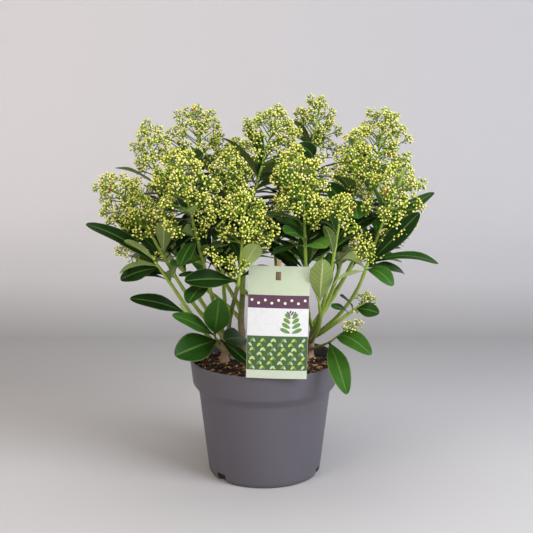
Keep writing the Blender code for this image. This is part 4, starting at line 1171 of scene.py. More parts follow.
def mesh_piece(name, points, faces, materials, smooth=True, sharp=None, outward=False):
    """A piece from points in mm and faces, with one or more materials, its faces turned out if asked."""
    mesh = bpy.data.meshes.new(name)
    mesh.from_pydata((np.asarray(points) * MM).tolist(), [], faces)
    mesh.update()
    for material in materials:
        mesh.materials.append(material)
    if smooth:
        mesh.shade_smooth()
    if sharp is not None:
        mesh.set_sharp_from_angle(angle=math.radians(sharp))
    if outward:
        face_out(mesh)
    return new_object(name, mesh)


def settle(piece, slot, *nodes):
    """Rides the piece on the body and hides the nodes it stands for. Its slot is not used."""
    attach(piece, BODY)
    if nodes:
        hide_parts(*nodes)
    return piece


def plain_mesh(thing):
    """The object's mesh with its modifiers worked in."""
    bpy.context.view_layer.update()
    depsgraph = bpy.context.evaluated_depsgraph_get()
    return bpy.data.meshes.new_from_object(thing.evaluated_get(depsgraph))


def grown_by(name, base, tree, **values):
    """A piece from a tree of geometry nodes run on a base mesh, as a plain mesh."""
    seed = new_object(name + "_base", base)
    modifier = seed.modifiers.new("Growth", "NODES")
    modifier.node_group = tree
    for item in tree.interface.items_tree:
        if item.item_type == "SOCKET" and item.in_out == "INPUT" and item.name in values:
            modifier[item.identifier] = values[item.name]
    mesh = plain_mesh(seed)
    bpy.data.objects.remove(seed, do_unlink=True)
    mesh.name = name
    return new_object(name, mesh)


def new_tree(name, **sockets):
    """A tree of geometry nodes with named inputs: returns it with its input node's outputs."""
    tree = bpy.data.node_groups.new(name, "GeometryNodeTree")
    tree.interface.new_socket("Geometry", in_out="INPUT", socket_type="NodeSocketGeometry")
    for label, kind in sockets.items():
        tree.interface.new_socket(label, in_out="INPUT", socket_type=kind)
    tree.interface.new_socket("Geometry", in_out="OUTPUT", socket_type="NodeSocketGeometry")
    return tree, tree.nodes.new("NodeGroupInput").outputs


def end_tree(tree, geometry, material):
    """Ends a tree of geometry nodes in its material."""
    done = add(tree, "GeometryNodeSetMaterial", Geometry=geometry, Material=material)
    add(tree, "NodeGroupOutput", Geometry=done)
    return tree


@functools.lru_cache
def twig_tree():
    """Round stalks along a base mesh's edges, as thick as its points say."""
    tree, given = new_tree("Stalks along edges", Sides="NodeSocketInt", Material="NodeSocketMaterial")
    lines = add(tree, "GeometryNodeMeshToCurve", Mesh=given["Geometry"])
    ring = add(tree, "GeometryNodeCurvePrimitiveCircle", Resolution=given["Sides"], Radius=MM)
    thick = add(tree, "GeometryNodeInputNamedAttribute", {"data_type": "FLOAT"}, Name="thick")
    skin = add(tree, "GeometryNodeCurveToMesh", Curve=lines,
               Profile_Curve=ring, Scale=thick, Fill_Caps=True)
    solid = add(tree, "GeometryNodeRealizeInstances", Geometry=skin)
    smooth = add(tree, "GeometryNodeSetShadeSmooth", Geometry=solid)
    return end_tree(tree, smooth.outputs["Geometry"], given["Material"])


@functools.lru_cache
def bud_tree():
    """A bead at each point, turned along its aim and scaled by its size."""
    tree, given = new_tree("Buds at points", Width="NodeSocketFloat", Length="NodeSocketFloat",
                           Material="NodeSocketMaterial")
    ball = add(tree, "GeometryNodeMeshUVSphere", Segments=6, Rings=4, Radius=0.5)
    place = tree.nodes.new("GeometryNodeInputPosition")
    height = add(tree, "ShaderNodeSeparateXYZ", Vector=place.outputs["Position"])
    marked = add(tree, "GeometryNodeStoreNamedAttribute", {"data_type": "FLOAT", "domain": "POINT"},
                 Geometry=ball, Name="tipward", Value=height.outputs["Z"])
    scale = add(tree, "ShaderNodeCombineXYZ", X=given["Width"], Y=given["Width"], Z=given["Length"])
    rise = add(tree, "ShaderNodeMath", {"operation": "MULTIPLY"}, Value=given["Length"], Value_001=0.3)
    lift = add(tree, "ShaderNodeCombineXYZ", Z=rise)
    bead = add(tree, "GeometryNodeTransform", Geometry=marked,
               Translation=lift, Scale=scale)
    aim = add(tree, "GeometryNodeInputNamedAttribute", {"data_type": "FLOAT_VECTOR"}, Name="aim")
    size = add(tree, "GeometryNodeInputNamedAttribute", {"data_type": "FLOAT"}, Name="size")
    turn = add(tree, "FunctionNodeAlignRotationToVector", {"axis": "Z"}, Vector=aim)
    placed = add(tree, "GeometryNodeInstanceOnPoints", Points=given["Geometry"],
                 Instance=bead, Rotation=turn,
                 Scale=size)
    solid = add(tree, "GeometryNodeRealizeInstances", Geometry=placed)
    smooth = add(tree, "GeometryNodeSetShadeSmooth", Geometry=solid)
    return end_tree(tree, smooth.outputs["Geometry"], given["Material"])


@functools.lru_cache
def crumb_tree():
    """Torn flakes strewn over a surface: count by density, size, and how flat they lie."""
    tree, given = new_tree("Flakes on a surface", Density="NodeSocketFloat", Size="NodeSocketVector",
                           Tilt="NodeSocketFloat", Ragged="NodeSocketFloat", Seed="NodeSocketInt",
                           Material="NodeSocketMaterial")
    spots = add(tree, "GeometryNodeDistributePointsOnFaces", Mesh=given["Geometry"],
                Density=given["Density"], Seed=given["Seed"])
    block = add(tree, "GeometryNodeMeshCube", Size=given["Size"], Vertices_X=4, Vertices_Y=3, Vertices_Z=2)
    low = add(tree, "ShaderNodeVectorMath", {"operation": "SCALE"}, Vector=(1.0, 1.0, 0.0),
              Scale=given["Tilt"])
    back = add(tree, "ShaderNodeVectorMath", {"operation": "SCALE"}, Vector=(-1.0, -1.0, 0.0),
               Scale=given["Tilt"])
    top = add(tree, "ShaderNodeVectorMath", {"operation": "ADD"}, Vector=low,
              Vector_001=(0.0, 0.0, 2 * math.pi))
    turn = add(tree, "FunctionNodeRandomValue", {"data_type": "FLOAT_VECTOR"}, Min=back,
               Max=top, Seed=given["Seed"])
    size = add(tree, "FunctionNodeRandomValue", {"data_type": "FLOAT_VECTOR"}, Min=FLAKE_SMALLEST,
               Max=FLAKE_LARGEST, Seed=11)
    placed = add(tree, "GeometryNodeInstanceOnPoints", Points=spots,
                 Instance=block, Rotation=turn, Scale=size)
    solid = add(tree, "GeometryNodeRealizeInstances", Geometry=placed)
    ragged = add(tree, "ShaderNodeTexNoise", Scale=1.0 / FLAKE_TEAR, Detail=1.0)
    centred = add(tree, "ShaderNodeVectorMath", {"operation": "SUBTRACT"}, Vector=ragged.outputs["Color"],
                  Vector_001=(0.5, 0.5, 0.5))
    push = add(tree, "ShaderNodeVectorMath", {"operation": "SCALE"}, Vector=centred,
               Scale=given["Ragged"])
    torn = add(tree, "GeometryNodeSetPosition", Geometry=solid,
               Offset=push)
    return end_tree(tree, torn.outputs["Geometry"], given["Material"])


def line_mesh(name, lines):
    """A mesh of edges for lines of (points in mm, first thickness, last thickness)."""
    points = []
    edges = []
    thick = []
    for path, first, last in lines:
        start = len(points)
        points.extend(path)
        edges.extend((start + i, start + i + 1) for i in range(len(path) - 1))
        thick.extend(taper(path, first, last))
    mesh = bpy.data.meshes.new(name)
    mesh.from_pydata((np.array(points) * MM).tolist(), edges, [])
    mark_points(mesh, "thick", "FLOAT", thick)
    return mesh


def mark_points(mesh, name, kind, values):
    """Gives each point of a mesh its value of a named attribute."""
    key = "vector" if kind == "FLOAT_VECTOR" else "value"
    marks = mesh.attributes.new(name, kind, "POINT")
    marks.data.foreach_set(key, np.array(values, dtype=np.float32).ravel())


def turned_shape(profile, sides):
    """Points and faces of a shape turned about Z. The profile starts and ends on the axis."""
    angles = np.linspace(0.0, 2 * math.pi, sides, endpoint=False)
    ring = np.array([np.cos(angles), np.sin(angles)]).T
    points = [vec(0, 0, profile[0][1])]
    for radius, z in profile[1:-1]:
        points.extend(np.column_stack([ring * radius, np.full(sides, z)]))
    points.append(vec(0, 0, profile[-1][1]))
    rows = len(profile) - 2
    last = len(points) - 1
    faces = []
    for i in range(sides):
        j = (i + 1) % sides
        faces.append((0, 1 + i, 1 + j))
        for row in range(rows - 1):
            a = 1 + row * sides
            faces.append((a + i, a + sides + i, a + sides + j, a + j))
        a = 1 + (rows - 1) * sides
        faces.append((a + i, last, a + j))
    return points, faces


def arc(centre, radius, first, last, count):
    """Points on an arc, as radius and height, from one angle to another in degrees."""
    angles = np.radians(np.linspace(first, last, count))
    return [(centre[0] + radius * math.cos(a), centre[1] + radius * math.sin(a)) for a in angles]


def face_out(mesh, weld=None):
    """Turns the faces of each closed shell in a mesh outwards, after a weld of points nearer than some mm."""
    bm = bmesh.new()
    bm.from_mesh(mesh)
    if weld:
        bmesh.ops.remove_doubles(bm, verts=bm.verts, dist=weld * MM)
    bmesh.ops.recalc_face_normals(bm, faces=bm.faces)
    bm.to_mesh(mesh)
    bm.free()


LIMB_FOOT_BULGE = 0.2
LIMB_TIP_BULGE = 0.5
"""How far a limb's foot stands out, in mm, and its tip, as a share of its radius."""


def skin(path, radii, sides, relief):
    """Points and faces of a closed round limb. Relief gives a radius's factor at a length and an angle."""
    lengths = lengths_along(path)
    heading = unit(path[1] - path[0])
    across = square_to(vec(0.2, 1.0, 0.1), heading)
    points = []
    for i, place in enumerate(path):
        ahead = path[min(i + 1, len(path) - 1)] - path[max(i - 1, 0)]
        heading = unit(ahead)
        across = square_to(across, heading)
        side = np.cross(heading, across)
        for j in range(sides):
            angle = 2 * math.pi * j / sides
            radius = radii[i] * relief(lengths[i], angle)
            points.append(place + (across * math.cos(angle) + side * math.sin(angle)) * radius)
    faces = []
    for i in range(len(path) - 1):
        for j in range(sides):
            k = (j + 1) % sides
            faces.append((i * sides + j, i * sides + k, (i + 1) * sides + k, (i + 1) * sides + j))
    points.append(path[0] - unit(path[1] - path[0]) * LIMB_FOOT_BULGE)
    points.append(path[-1] + heading * radii[-1] * LIMB_TIP_BULGE)
    low = len(points) - 2
    last = (len(path) - 1) * sides
    for j in range(sides):
        k = (j + 1) % sides
        faces.append((low, k, j))
        faces.append((low + 1, last + j, last + k))
    return points, faces


def joined(shapes):
    """One list of points and one of faces from several shapes."""
    points = []
    faces = []
    for some, these in shapes:
        start = len(points)
        points.extend(some)
        faces.extend(tuple(start + i for i in face) for face in these)
    return points, faces


# Pot and compost

def inner_profile(gap):
    """The pot's inside, or what fits it with a gap, from the floor up to under the lip."""
    low = POT_FLOOR + gap
    inside = [(radius_in(POT_PROFILE, low) - POT_WALL - gap, low)]
    for radius, z in POT_PROFILE:
        if z > POT_FLOOR + 1.0:
            inside.append((radius - POT_WALL - gap, z))
    return inside


def pot_profile():
    """The pot's section with its moulded roundings: foot, shoulder step and rolled lip."""
    rim = POT_PROFILE[-1][0]
    wall_foot = POT_PROFILE[2]
    wall_top = POT_PROFILE[3]
    band_foot = POT_PROFILE[4]
    lip = arc((rim - POT_WALL / 2, POT_HEIGHT - POT_WALL / 2), POT_WALL / 2, 170, 0, 8)
    slope = (wall_top[0] - wall_foot[0]) / (wall_top[1] - wall_foot[1])
    outside = [
        (rim - 0.05, POT_HEIGHT - 2.2),
        (band_foot[0] + 0.5, band_foot[1] + 3.0),
        (band_foot[0] - 0.1, band_foot[1] + 0.6),
        (band_foot[0] - 1.0, band_foot[1] - 0.9),
        (wall_top[0] + 1.2, wall_top[1] + 1.0),
        (wall_top[0] + 0.2, wall_top[1] - 0.8),
        (wall_top[0] - slope * 4.0, wall_top[1] - 4.0),
        (wall_foot[0] + slope * 2.0, wall_foot[1] + 2.0),
        (wall_foot[0] - 0.3, wall_foot[1] - 1.2),
        (POT_PROFILE[1][0] - 0.2, 0.9),
        (POT_PROFILE[0][0] + 1.2, 0.1),
        (POT_PROFILE[0][0], 0.0),
    ]
    inside = inner_profile(0.0)[:-1] + [(rim - POT_WALL - 0.05, POT_HEIGHT - 2.2)]
    return [(0.0, POT_FLOOR)] + inside + lip + outside + [(0.0, 0.0)]


def notch_blocks():
    """Blocks that cut the drain notches out of the foot."""
    blocks = []
    for bearing in NOTCH_BEARINGS:
        angle = math.radians(bearing)
        out = POT_PROFILE[0][0] + NOTCH_DEPTH / 2
        bm = bmesh.new()
        bmesh.ops.create_cube(bm, size=1.0)
        size = Vector((NOTCH_DEPTH + 9.0, NOTCH_WIDTH, NOTCH_HEIGHT + 2.0))
        bmesh.ops.scale(bm, vec=size * MM, verts=bm.verts)
        bmesh.ops.rotate(bm, matrix=Matrix.Rotation(angle, 3, "Z"), verts=bm.verts)
        place = (out * math.cos(angle), out * math.sin(angle), NOTCH_HEIGHT / 2 - 1.0)
        bmesh.ops.translate(bm, vec=Vector(place) * MM, verts=bm.verts)
        mesh = bpy.data.meshes.new("notch")
        bm.to_mesh(mesh)
        bm.free()
        blocks.append(new_object("notch", mesh))
    return blocks


def make_pot(colour):
    """The turned pot, with its notches cut."""
    points, faces = turned_shape(pot_profile(), POT_SIDES)
    pot = mesh_piece("nursery_pot", points, faces, [moulded_polypropylene(colour)], outward=True)
    for block in notch_blocks():
        cut = pot.modifiers.new("Notch", "BOOLEAN")
        cut.operation = "DIFFERENCE"
        cut.solver = "EXACT"
        cut.object = block
        mesh = plain_mesh(pot)
        pot.modifiers.clear()
        pot.data = mesh
        bpy.data.objects.remove(block, do_unlink=True)
    pot.data.shade_smooth()
    pot.data.set_sharp_from_angle(angle=math.radians(32))
    return settle(pot, "pot", "pot")


def compost_height(x, y):
    """Height of the compost's surface: small heaps and hollows, lower at the wall."""
    reach = math.hypot(x, y)
    edge = radius_in(POT_PROFILE, SOIL_TOP) - POT_WALL - FIT
    heaps = noise.noise(Vector((x, y, 0.0)) / SOIL_HEAPS[0]) * SOIL_HEAPS[1]
    heaps += noise.noise(Vector((x, y, 9.0)) / SOIL_CLODS[0]) * SOIL_CLODS[1]
    fade = min(1.0, (edge - reach) / SOIL_EDGE_WIDTH)
    return SOIL_TOP - SOIL_EDGE_DROP * (1.0 - fade) + min(heaps, SOIL_HIGHEST) * fade - SOIL_SINK


FLAKES = (
    ("bark_chips_tan", "#8a6038", "#dcae78", 1.0, (6.0, 3.0, 1.3), 0.5, 3),
    ("bark_chips_brown", "#2e1a0d", "#74461f", 1.8, (5.0, 3.0, 1.6), 0.7, 5),
    ("compost_crumbs", "#0c0603", "#2c1a10", 5.0, (3.0, 2.6, 2.2), 1.2, 8),
    ("wood_flakes", "#9a7560", "#e6c2aa", 0.3, (3.2, 2.0, 1.2), 0.6, 13),
)
"""What lies on the compost: name, colours, how many to a tan chip, size, tilt and seed."""
FLAKE_RAGGED = 2.2
FLAKE_TEAR = 1.0 / 700.0
FLAKE_SMALLEST = (0.4, 0.4, 0.5)
FLAKE_LARGEST = (1.3, 1.2, 1.3)
"""How far a flake's corners are pushed, in mm, how wide a tear is, in metres, and the range of sizes."""


def make_compost(chips):
    """The compost, with bark chips, wood flakes and root hairs on it."""
    edge = radius_in(POT_PROFILE, SOIL_TOP) - POT_WALL - FIT
    rings = np.linspace(edge, 0.0, 27)[:-1]
    inside = [point for point in inner_profile(FIT) if point[1] < SOIL_TOP - SOIL_EDGE_DROP - 1.0]
    profile = [(0.0, POT_FLOOR + FIT)] + inside + [(radius, SOIL_TOP) for radius in rings] + [(0.0, SOIL_TOP)]
    points, faces = turned_shape(profile, 96)
    points = np.array(points)
    for point in points:
        if point[2] > SOIL_TOP - 0.01:
            point[2] = compost_height(point[0], point[1])
    compost = mesh_piece("compost", points, faces, [damp_compost()], outward=True)
    settle(compost, "compost", "soil")
    top = [face for face in faces if all(points[i][2] > SOIL_TOP - 4.5 for i in face)
           and max(math.hypot(points[i][0], points[i][1]) for i in face) < edge - 3.0]
    for name, dark, light, share, size, tilt, seed in FLAKES:
        base = bpy.data.meshes.new(name)
        base.from_pydata((points * MM).tolist(), [], top)
        flakes = grown_by(name, base, crumb_tree(), Density=chips * share, Size=tuple(s * MM for s in size),
                          Tilt=tilt, Ragged=FLAKE_RAGGED * MM, Seed=seed,
                          Material=bark_chip(name, dark, light))
        settle(flakes, "compost")
    make_root_hairs()


ROOT_HAIRS = 46
ROOT_REACH = (10.0, 66.0)
ROOT_LIMIT = 74.0
ROOT_STEP = 2.6


def make_root_hairs():
    """Thin orange roots that wander over the compost."""
    rng = np.random.default_rng(SEED + 4)
    lines = []
    for _ in range(ROOT_HAIRS):
        reach = rng.uniform(*ROOT_REACH)
        bearing = rng.uniform(0.0, 2 * math.pi)
        x, y = reach * math.cos(bearing), reach * math.sin(bearing)
        heading = rng.uniform(0.0, 2 * math.pi)
        path = []
        for _ in range(rng.integers(6, 14)):
            path.append(vec(x, y, compost_height(x, y) + rng.uniform(0.2, 1.4)))
            heading += rng.uniform(-0.8, 0.8)
            x += ROOT_STEP * math.cos(heading)
            y += ROOT_STEP * math.sin(heading)
            if math.hypot(x, y) > ROOT_LIMIT:
                break
        if len(path) > 2:
            lines.append((np.array(path), 0.45, 0.2))
    roots = grown_by("root_hairs", line_mesh("root_hairs", lines), twig_tree(), Sides=4,
                     Material=bark_chip("fibrous_root", "#7a4a24", "#c08a52"))
    settle(roots, "compost")


# Label

def card_matrix():
    """Places the label: x across, y through it towards the back, z up from its bottom edge."""
    turn = Matrix.Rotation(math.radians(CARD_TURN), 4, "Y")
    lean = Matrix.Rotation(math.radians(CARD_LEAN), 4, "X")
    return Matrix.Translation(Vector(CARD_FOOT)) @ lean @ turn


def card_bow(x):
    """How far the card's middle stands in front of its edges."""
    return -CARD_BOW * (1.0 - (2 * x / CARD_WIDTH) ** 2)


def by_card(points):
    """Points on the label, in the frame."""
    matrix = card_matrix()
    return [vec(*(matrix @ Vector(point))) for point in points]


def plate(xs, zs, front, back, hole=None):
    """A closed plate that follows the card's bow, from depth front to depth back, with one cell left out."""
    columns, rows = len(xs), len(zs)
    points = []
    for depth in (front, back):
        points.extend((x, card_bow(x) + depth, z) for z in zs for x in xs)
    cells = {(i, j) for i in range(columns - 1) for j in range(rows - 1)}
    if hole:
        cells = {(i, j) for i, j in cells
                 if not (hole[0] <= xs[i] < hole[1] and hole[2] <= zs[j] < hole[3])}
    other = columns * rows
    faces = []
    for i, j in cells:
        a, b = j * columns + i, j * columns + i + 1
        c, d = b + columns, a + columns
        faces.append((a, b, c, d))
        faces.append((other + a, other + d, other + c, other + b))
        for first, second, neighbour in ((a, b, (i, j - 1)), (b, c, (i + 1, j)), (c, d, (i, j + 1)),
                                         (d, a, (i - 1, j))):
            if neighbour not in cells:
                faces.append((first, other + first, other + second, second))
    used = sorted({i for face in faces for i in face})
    place = {old: new for new, old in enumerate(used)}
    return [points[i] for i in used], [tuple(place[i] for i in face) for face in faces]


def steps(first, last, step):
    """Even stations from first to last, about a step apart."""
    return list(np.linspace(first, last, max(2, math.ceil(abs(last - first) / step) + 1)))


def flat_shape(outline, lift):
    """A closed flat shape on the card's face, from its outline in x and z."""
    count = len(outline)
    front = [(x, card_bow(x) - CARD_THICKNESS / 2 - lift, z) for x, z in outline]
    back = [(x, card_bow(x) - CARD_THICKNESS / 2 + 0.05, z) for x, z in outline]
    faces = [tuple(range(count)), tuple(reversed(range(count, 2 * count)))]
    for i in range(count):
        j = (i + 1) % count
        faces.append((i, count + i, count + j, j))
    return front + back, faces


def leaf_figure(x, z, length, width, angle):
    """Outline of a plain leaf drawn on the card."""
    outline = []
    for i in range(12):
        t = 2 * math.pi * i / 12
        along = length * (0.5 - 0.5 * math.cos(t))
        across = width / 2 * math.sin(t) * (1.0 - 0.25 * math.cos(t))
        outline.append((x + along * math.cos(angle) - across * math.sin(angle),
                        z + along * math.sin(angle) + across * math.cos(angle)))
    return outline


def dot_figure(x, z, radius):
    """Outline of a dot drawn on the card."""
    return arc((x, z), radius, 0, 360, 9)[:-1]


def card_print():
    """The card's plain pattern: for each ink, the shapes printed in it."""
    half = CARD_WIDTH / 2 - PRINT_MARGIN
    face = -CARD_THICKNESS / 2
    inks = {ink: [] for ink in CARD_INKS}
    xs = steps(-half, WINDOW_LEFT, 3.0) + steps(WINDOW_RIGHT, half, 3.0)
    zs = [SAGE_LOW, WINDOW_LOW, WINDOW_HIGH, CARD_HEIGHT - PRINT_MARGIN]
    inks["sage"].append(plate(xs, zs, face - BAND_LIFT, face + PRINT_ROOT, WINDOW_HOLE))
    for ink, low, high in CARD_BANDS:
        inks[ink].append(plate(steps(-half, half, 3.0), steps(low, high, 30.0), face - BAND_LIFT,
                               face + PRINT_ROOT))
    for k in range(DOTS):
        dot = dot_figure((k - DOTS // 2) * DOT_APART, DOT_Z + 1.6 * (-1) ** k, DOT_RADIUS)
        inks["cream"].append(flat_shape(dot, MOTIF_LIFT))
    for side in (-1, 1):
        for k in range(SPRIG_PAIRS):
            lean = math.pi / 2 - side * (1.15 - 0.12 * k)
            outline = leaf_figure(SPRIG[0] + side, SPRIG[1] + k * SPRIG_STEP, SPRIG_LEAF[0] - k * 1.3,
                                  SPRIG_LEAF[1], lean)
            inks["fern"].append(flat_shape(outline, MOTIF_LIFT))
    for k in range(SPRIG_FLOWERS):
        out = SPRIG_HEAD * math.sqrt((k + 0.5) / SPRIG_FLOWERS)
        dot = dot_figure(SPRIG[0] + out * math.cos(k * GOLDEN_ANGLE),
                         SPRIG_TOP + out * 0.55 * math.sin(k * GOLDEN_ANGLE), SPRIG_DOT)
        inks["plum"].append(flat_shape(dot, MOTIF_LIFT + 0.01))
    for row in range(PATTERN_ROWS):
        for column in range(PATTERN_COLUMNS):
            x = PATTERN_FOOT[0] + column * PATTERN_STEP[0] + (row % 2) * 2.0
            z = PATTERN_FOOT[1] + row * PATTERN_STEP[1]
            ink = ("fern", "sage", "lime")[(row * 2 + column) % 3]
            angle = math.radians(50 + 80 * ((row + column) % 2))
            inks[ink].append(flat_shape(leaf_figure(x, z, *PATTERN_LEAF, angle), MOTIF_LIFT))
    return inks


def make_card():
    """The coated card with its window, and the inks that lie on its face."""
    half = CARD_WIDTH / 2
    xs = steps(-half, WINDOW_LEFT, 2.5) + steps(WINDOW_LEFT, WINDOW_RIGHT, 3.0)[1:-1]
    xs += steps(WINDOW_RIGHT, half, 2.5)
    zs = steps(0.0, WINDOW_LOW, 25.0) + [WINDOW_HIGH, CARD_HEIGHT]
    points, faces = plate(xs, zs, -CARD_THICKNESS / 2, CARD_THICKNESS / 2, WINDOW_HOLE)
    stock = printed_ink("coated_card", "#d3d6cb", "#e4e6de")
    card = mesh_piece("plant_label", by_card(points), faces, [stock], sharp=40, outward=True)
    settle(card, "label_card", "label_card")
    for ink, shapes in card_print().items():
        points, faces = joined(shapes)
        tone = printed_ink("ink_" + ink, *CARD_INKS[ink])
        piece = mesh_piece("label_print_" + ink, by_card(points), faces, [tone], smooth=False, outward=True)
        settle(piece, "label_card", "label_card")


def make_stick():
    """The birch stick behind the card, its edges eased and its top end rounded over."""
    foot = STICK_FOOT_Z - CARD_FOOT[2]
    top = CARD_HEIGHT + STICK_ABOVE_CARD
    half_x, half_y = STICK_WIDTH / 2, STICK_THICKNESS / 2
    inner_x, inner_y = half_x - STICK_EASE, half_y - STICK_EASE
    ring = [(half_x, inner_y), (inner_x, half_y), (-inner_x, half_y), (-half_x, inner_y),
            (-half_x, -inner_y), (-inner_x, -half_y), (inner_x, -half_y), (half_x, -inner_y)]
    levels = [(foot, 0.9)] + [(z, 1.0) for z in steps(foot + 0.5, top - 1.2, 12.0)]
    levels += [(top - 0.4, 0.92), (top, 0.7)]
    points = []
    for z, share in levels:
        leaning = STICK_SLANT * (top - z)
        points.extend((STICK_X + x * share, STICK_OFFSET + leaning + y * share, z) for x, y in ring)
    count = len(ring)
    faces = [tuple(reversed(range(count))), tuple(range(len(points) - count, len(points)))]
    for row in range(len(levels) - 1):
        for i in range(count):
            j = (i + 1) % count
            a = row * count
            faces.append((a + i, a + j, a + count + j, a + count + i))
    stick = mesh_piece("label_stake", by_card(points), faces, [sawn_birch()], sharp=30, outward=True)
    settle(stick, "label_stick", "label_stick")


# Stems, boughs and shoots

STEM_SIDES, BOUGH_SIDES, SHOOT_SIDES = 20, 14, 10
STEM_BARK, BOUGH_BARK, SHOOT_BARK = (0.16, 17.0, 0.14), (0.09, 21.0, 0.16), (0.06, 9.0, 0.2)
"""Bark: how high its ridges are and its leaf scars, in shares of the radius, with mm between scars
in the middle."""
STEM_COLLAR = (0.3, 7.0)
BOUGH_COLLAR = (0.9, 6.0)
"""Swelling at the foot, as a share of a stem's radius or in mm, and how far up it reaches."""


def bark_relief(seed, ridge, scar_step, scar_height):
    """Relief of a limb's bark: fine ridges, and a leaf scar every few mm by the golden angle."""
    def relief(length, angle):
        turn = Vector((math.cos(angle) * 1.6, math.sin(angle) * 1.6, length * 0.09 + seed * 7.0))
        factor = 1.0 + ridge * noise.noise(turn * 1.7) + ridge * 0.5 * noise.noise(turn * 4.0)
        index = round(length / scar_step)
        offset = (length - index * scar_step) / 1.5
        if abs(offset) < 3.0:
            away = abs((angle - index * GOLDEN_ANGLE + math.pi) % (2 * math.pi) - math.pi)
            factor += scar_height * math.exp(-offset * offset) * (0.35 + math.exp(-(away / 0.7) ** 2))
        return factor
    return relief


def swollen(path, radii, extra, reach):
    """Radii with a collar that swells at the path's foot."""
    return radii + extra * np.exp(-(lengths_along(path) / reach) ** 2)


def make_stems():
    """The woody stems, from a flared foot on the compost to the fork."""
    shapes = []
    for i, stem in enumerate(STEMS.values()):
        path = stem_path(stem, 18)
        radii = taper(path, stem.foot_radius, stem.top_radius)
        radii = swollen(path, radii, stem.foot_radius * STEM_COLLAR[0], STEM_COLLAR[1])
        fine = spaced(path, 2.0)
        radii = np.interp(lengths_along(fine), lengths_along(path), radii)
        shapes.append(skin(fine, radii, STEM_SIDES, bark_relief(i, *STEM_BARK)))
    settle(mesh_piece("woody_stems", *joined(shapes), [woody_bark()]), "bark", *STEMS)


def make_boughs():
    """The green boughs, each swelling into a collar where it leaves its limb."""
    shapes = []
    names = []
    for i, (name, limb) in enumerate(grow_limbs(20).items()):
        if name in STEMS:
            continue
        names.append(name)
        path = spaced(limb.path, 2.5)
        radii = swollen(path, taper(path, BOUGH_FOOT_RADIUS, BOUGH_TIP_RADIUS), *BOUGH_COLLAR)
        shapes.append(skin(path, radii, BOUGH_SIDES, bark_relief(i, *BOUGH_BARK)))
    settle(mesh_piece("green_boughs", *joined(shapes), [green_bark()]), "green_bark", *names)


def make_shoots():
    """Each shoot's own stem, on from its bough and up through its bloom."""
    shapes = []
    for i, mass in enumerate(plant().masses.values()):
        path = rounded(mass.path, 2.5)
        radii = taper(path, BOUGH_TIP_RADIUS, SHOOT_TIP_RADIUS)
        start = path[0] - unit(path[1] - path[0]) * 1.2
        path = np.concatenate([[start], path])
        radii = np.concatenate([[BOUGH_TIP_RADIUS], radii])
        shapes.append(skin(path, radii, SHOOT_SIDES, bark_relief(i + 40, *SHOOT_BARK)))
    settle(mesh_piece("shoot_stems", *joined(shapes), [green_bark()]), "green_bark", *MASS_NODES)


# Leaves

LEAF_END_WELD = 0.02
LEAF_SWAY = (0.4, 1.3)
EDGE_WAVES = 9.0
"""How far a leaf's edge waves up and down, in mm, and its turns, in radians, along the leaf."""
MIDRIB_GROOVE = 0.12
MIDRIB_KEEL = 0.35
LEAF_VEINS = 66.0
"""Turns, in radians, of the side veins' wave along a leaf: ten or eleven pairs."""
LEAF_STATIONS = (0.0, 0.03, 0.10, 0.2, 0.31, 0.42, 0.53, 0.64, 0.74, 0.83, 0.91, 0.96, 0.988, 1.0)
LEAF_COLUMNS = (-1.0, -0.55, -0.14, 0.0, 0.14, 0.55, 1.0)


def blade_shape(blade, thickness, rng):
    """Points, faces, each face's side, and each corner's place along and across the blade."""
    sway = rng.uniform(*LEAF_SWAY)
    phase = rng.uniform(0.0, 2 * math.pi)
    points = []
    marks = []
    for along in LEAF_STATIONS:
        for top in (True, False):
            for across in LEAF_COLUMNS:
                edge = abs(across)
                if not top and edge == 1.0:
                    continue
                inner = 1.0 - edge
                body = thickness / 2 * (inner ** 0.5 if inner else 0.0)
                if edge == 0.0:
                    body += -MIDRIB_GROOVE if top else MIDRIB_KEEL * (1.0 - along)
                wave = sway * edge * edge * math.sin(along * EDGE_WAVES + phase + (across > 0) * 2.0)
                lift = wave * leaf_outline(along) + (body if top else -body) * (0.0 < along < 1.0)
                points.append(leaf_point(blade, along, across, lift))
                marks.append((along, (across + 1) / 2))
    wide = len(LEAF_COLUMNS)
    step = 2 * wide - 2
    faces = []
    sides = []
    for row in range(len(LEAF_STATIONS) - 1):
        a, b = row * step, (row + 1) * step
        for column in range(wide - 1):
            faces.append((a + column, a + column + 1, b + column + 1, b + column))
            sides.append(0)
            low = [start + (column if column == 0 else wide + column - 1) for start in (a, b)]
            high = [start + (wide - 1 if column + 2 == wide else wide + column) for start in (a, b)]
            faces.append((low[0], low[1], high[1], high[0]))
            sides.append(1)
    return points, faces, sides, marks


def leaf_piece(name, blades, tones, materials, thickness, seed):
    """Many leaves as one mesh, each with its tone's upper and under face."""
    rng = np.random.default_rng(seed)
    points = []
    faces = []
    slots = []
    maps = []
    for blade, tone in zip(blades, tones):
        some, these, sides, marks = blade_shape(blade, thickness, rng)
        start = len(points)
        points.extend(some)
        faces.extend(tuple(start + i for i in face) for face in these)
        slots.extend(tone * 2 + side for side in sides)
        maps.extend(marks[i] for face in these for i in face)
    piece = mesh_piece(name, points, faces, materials)
    piece.data.polygons.foreach_set("material_index", slots)
    layer = piece.data.uv_layers.new(name="blade")
    layer.data.foreach_set("uv", np.array(maps, dtype=np.float32).ravel())
    face_out(piece.data, LEAF_END_WELD)
    piece.data.set_sharp_from_angle(angle=math.radians(70))
    return piece


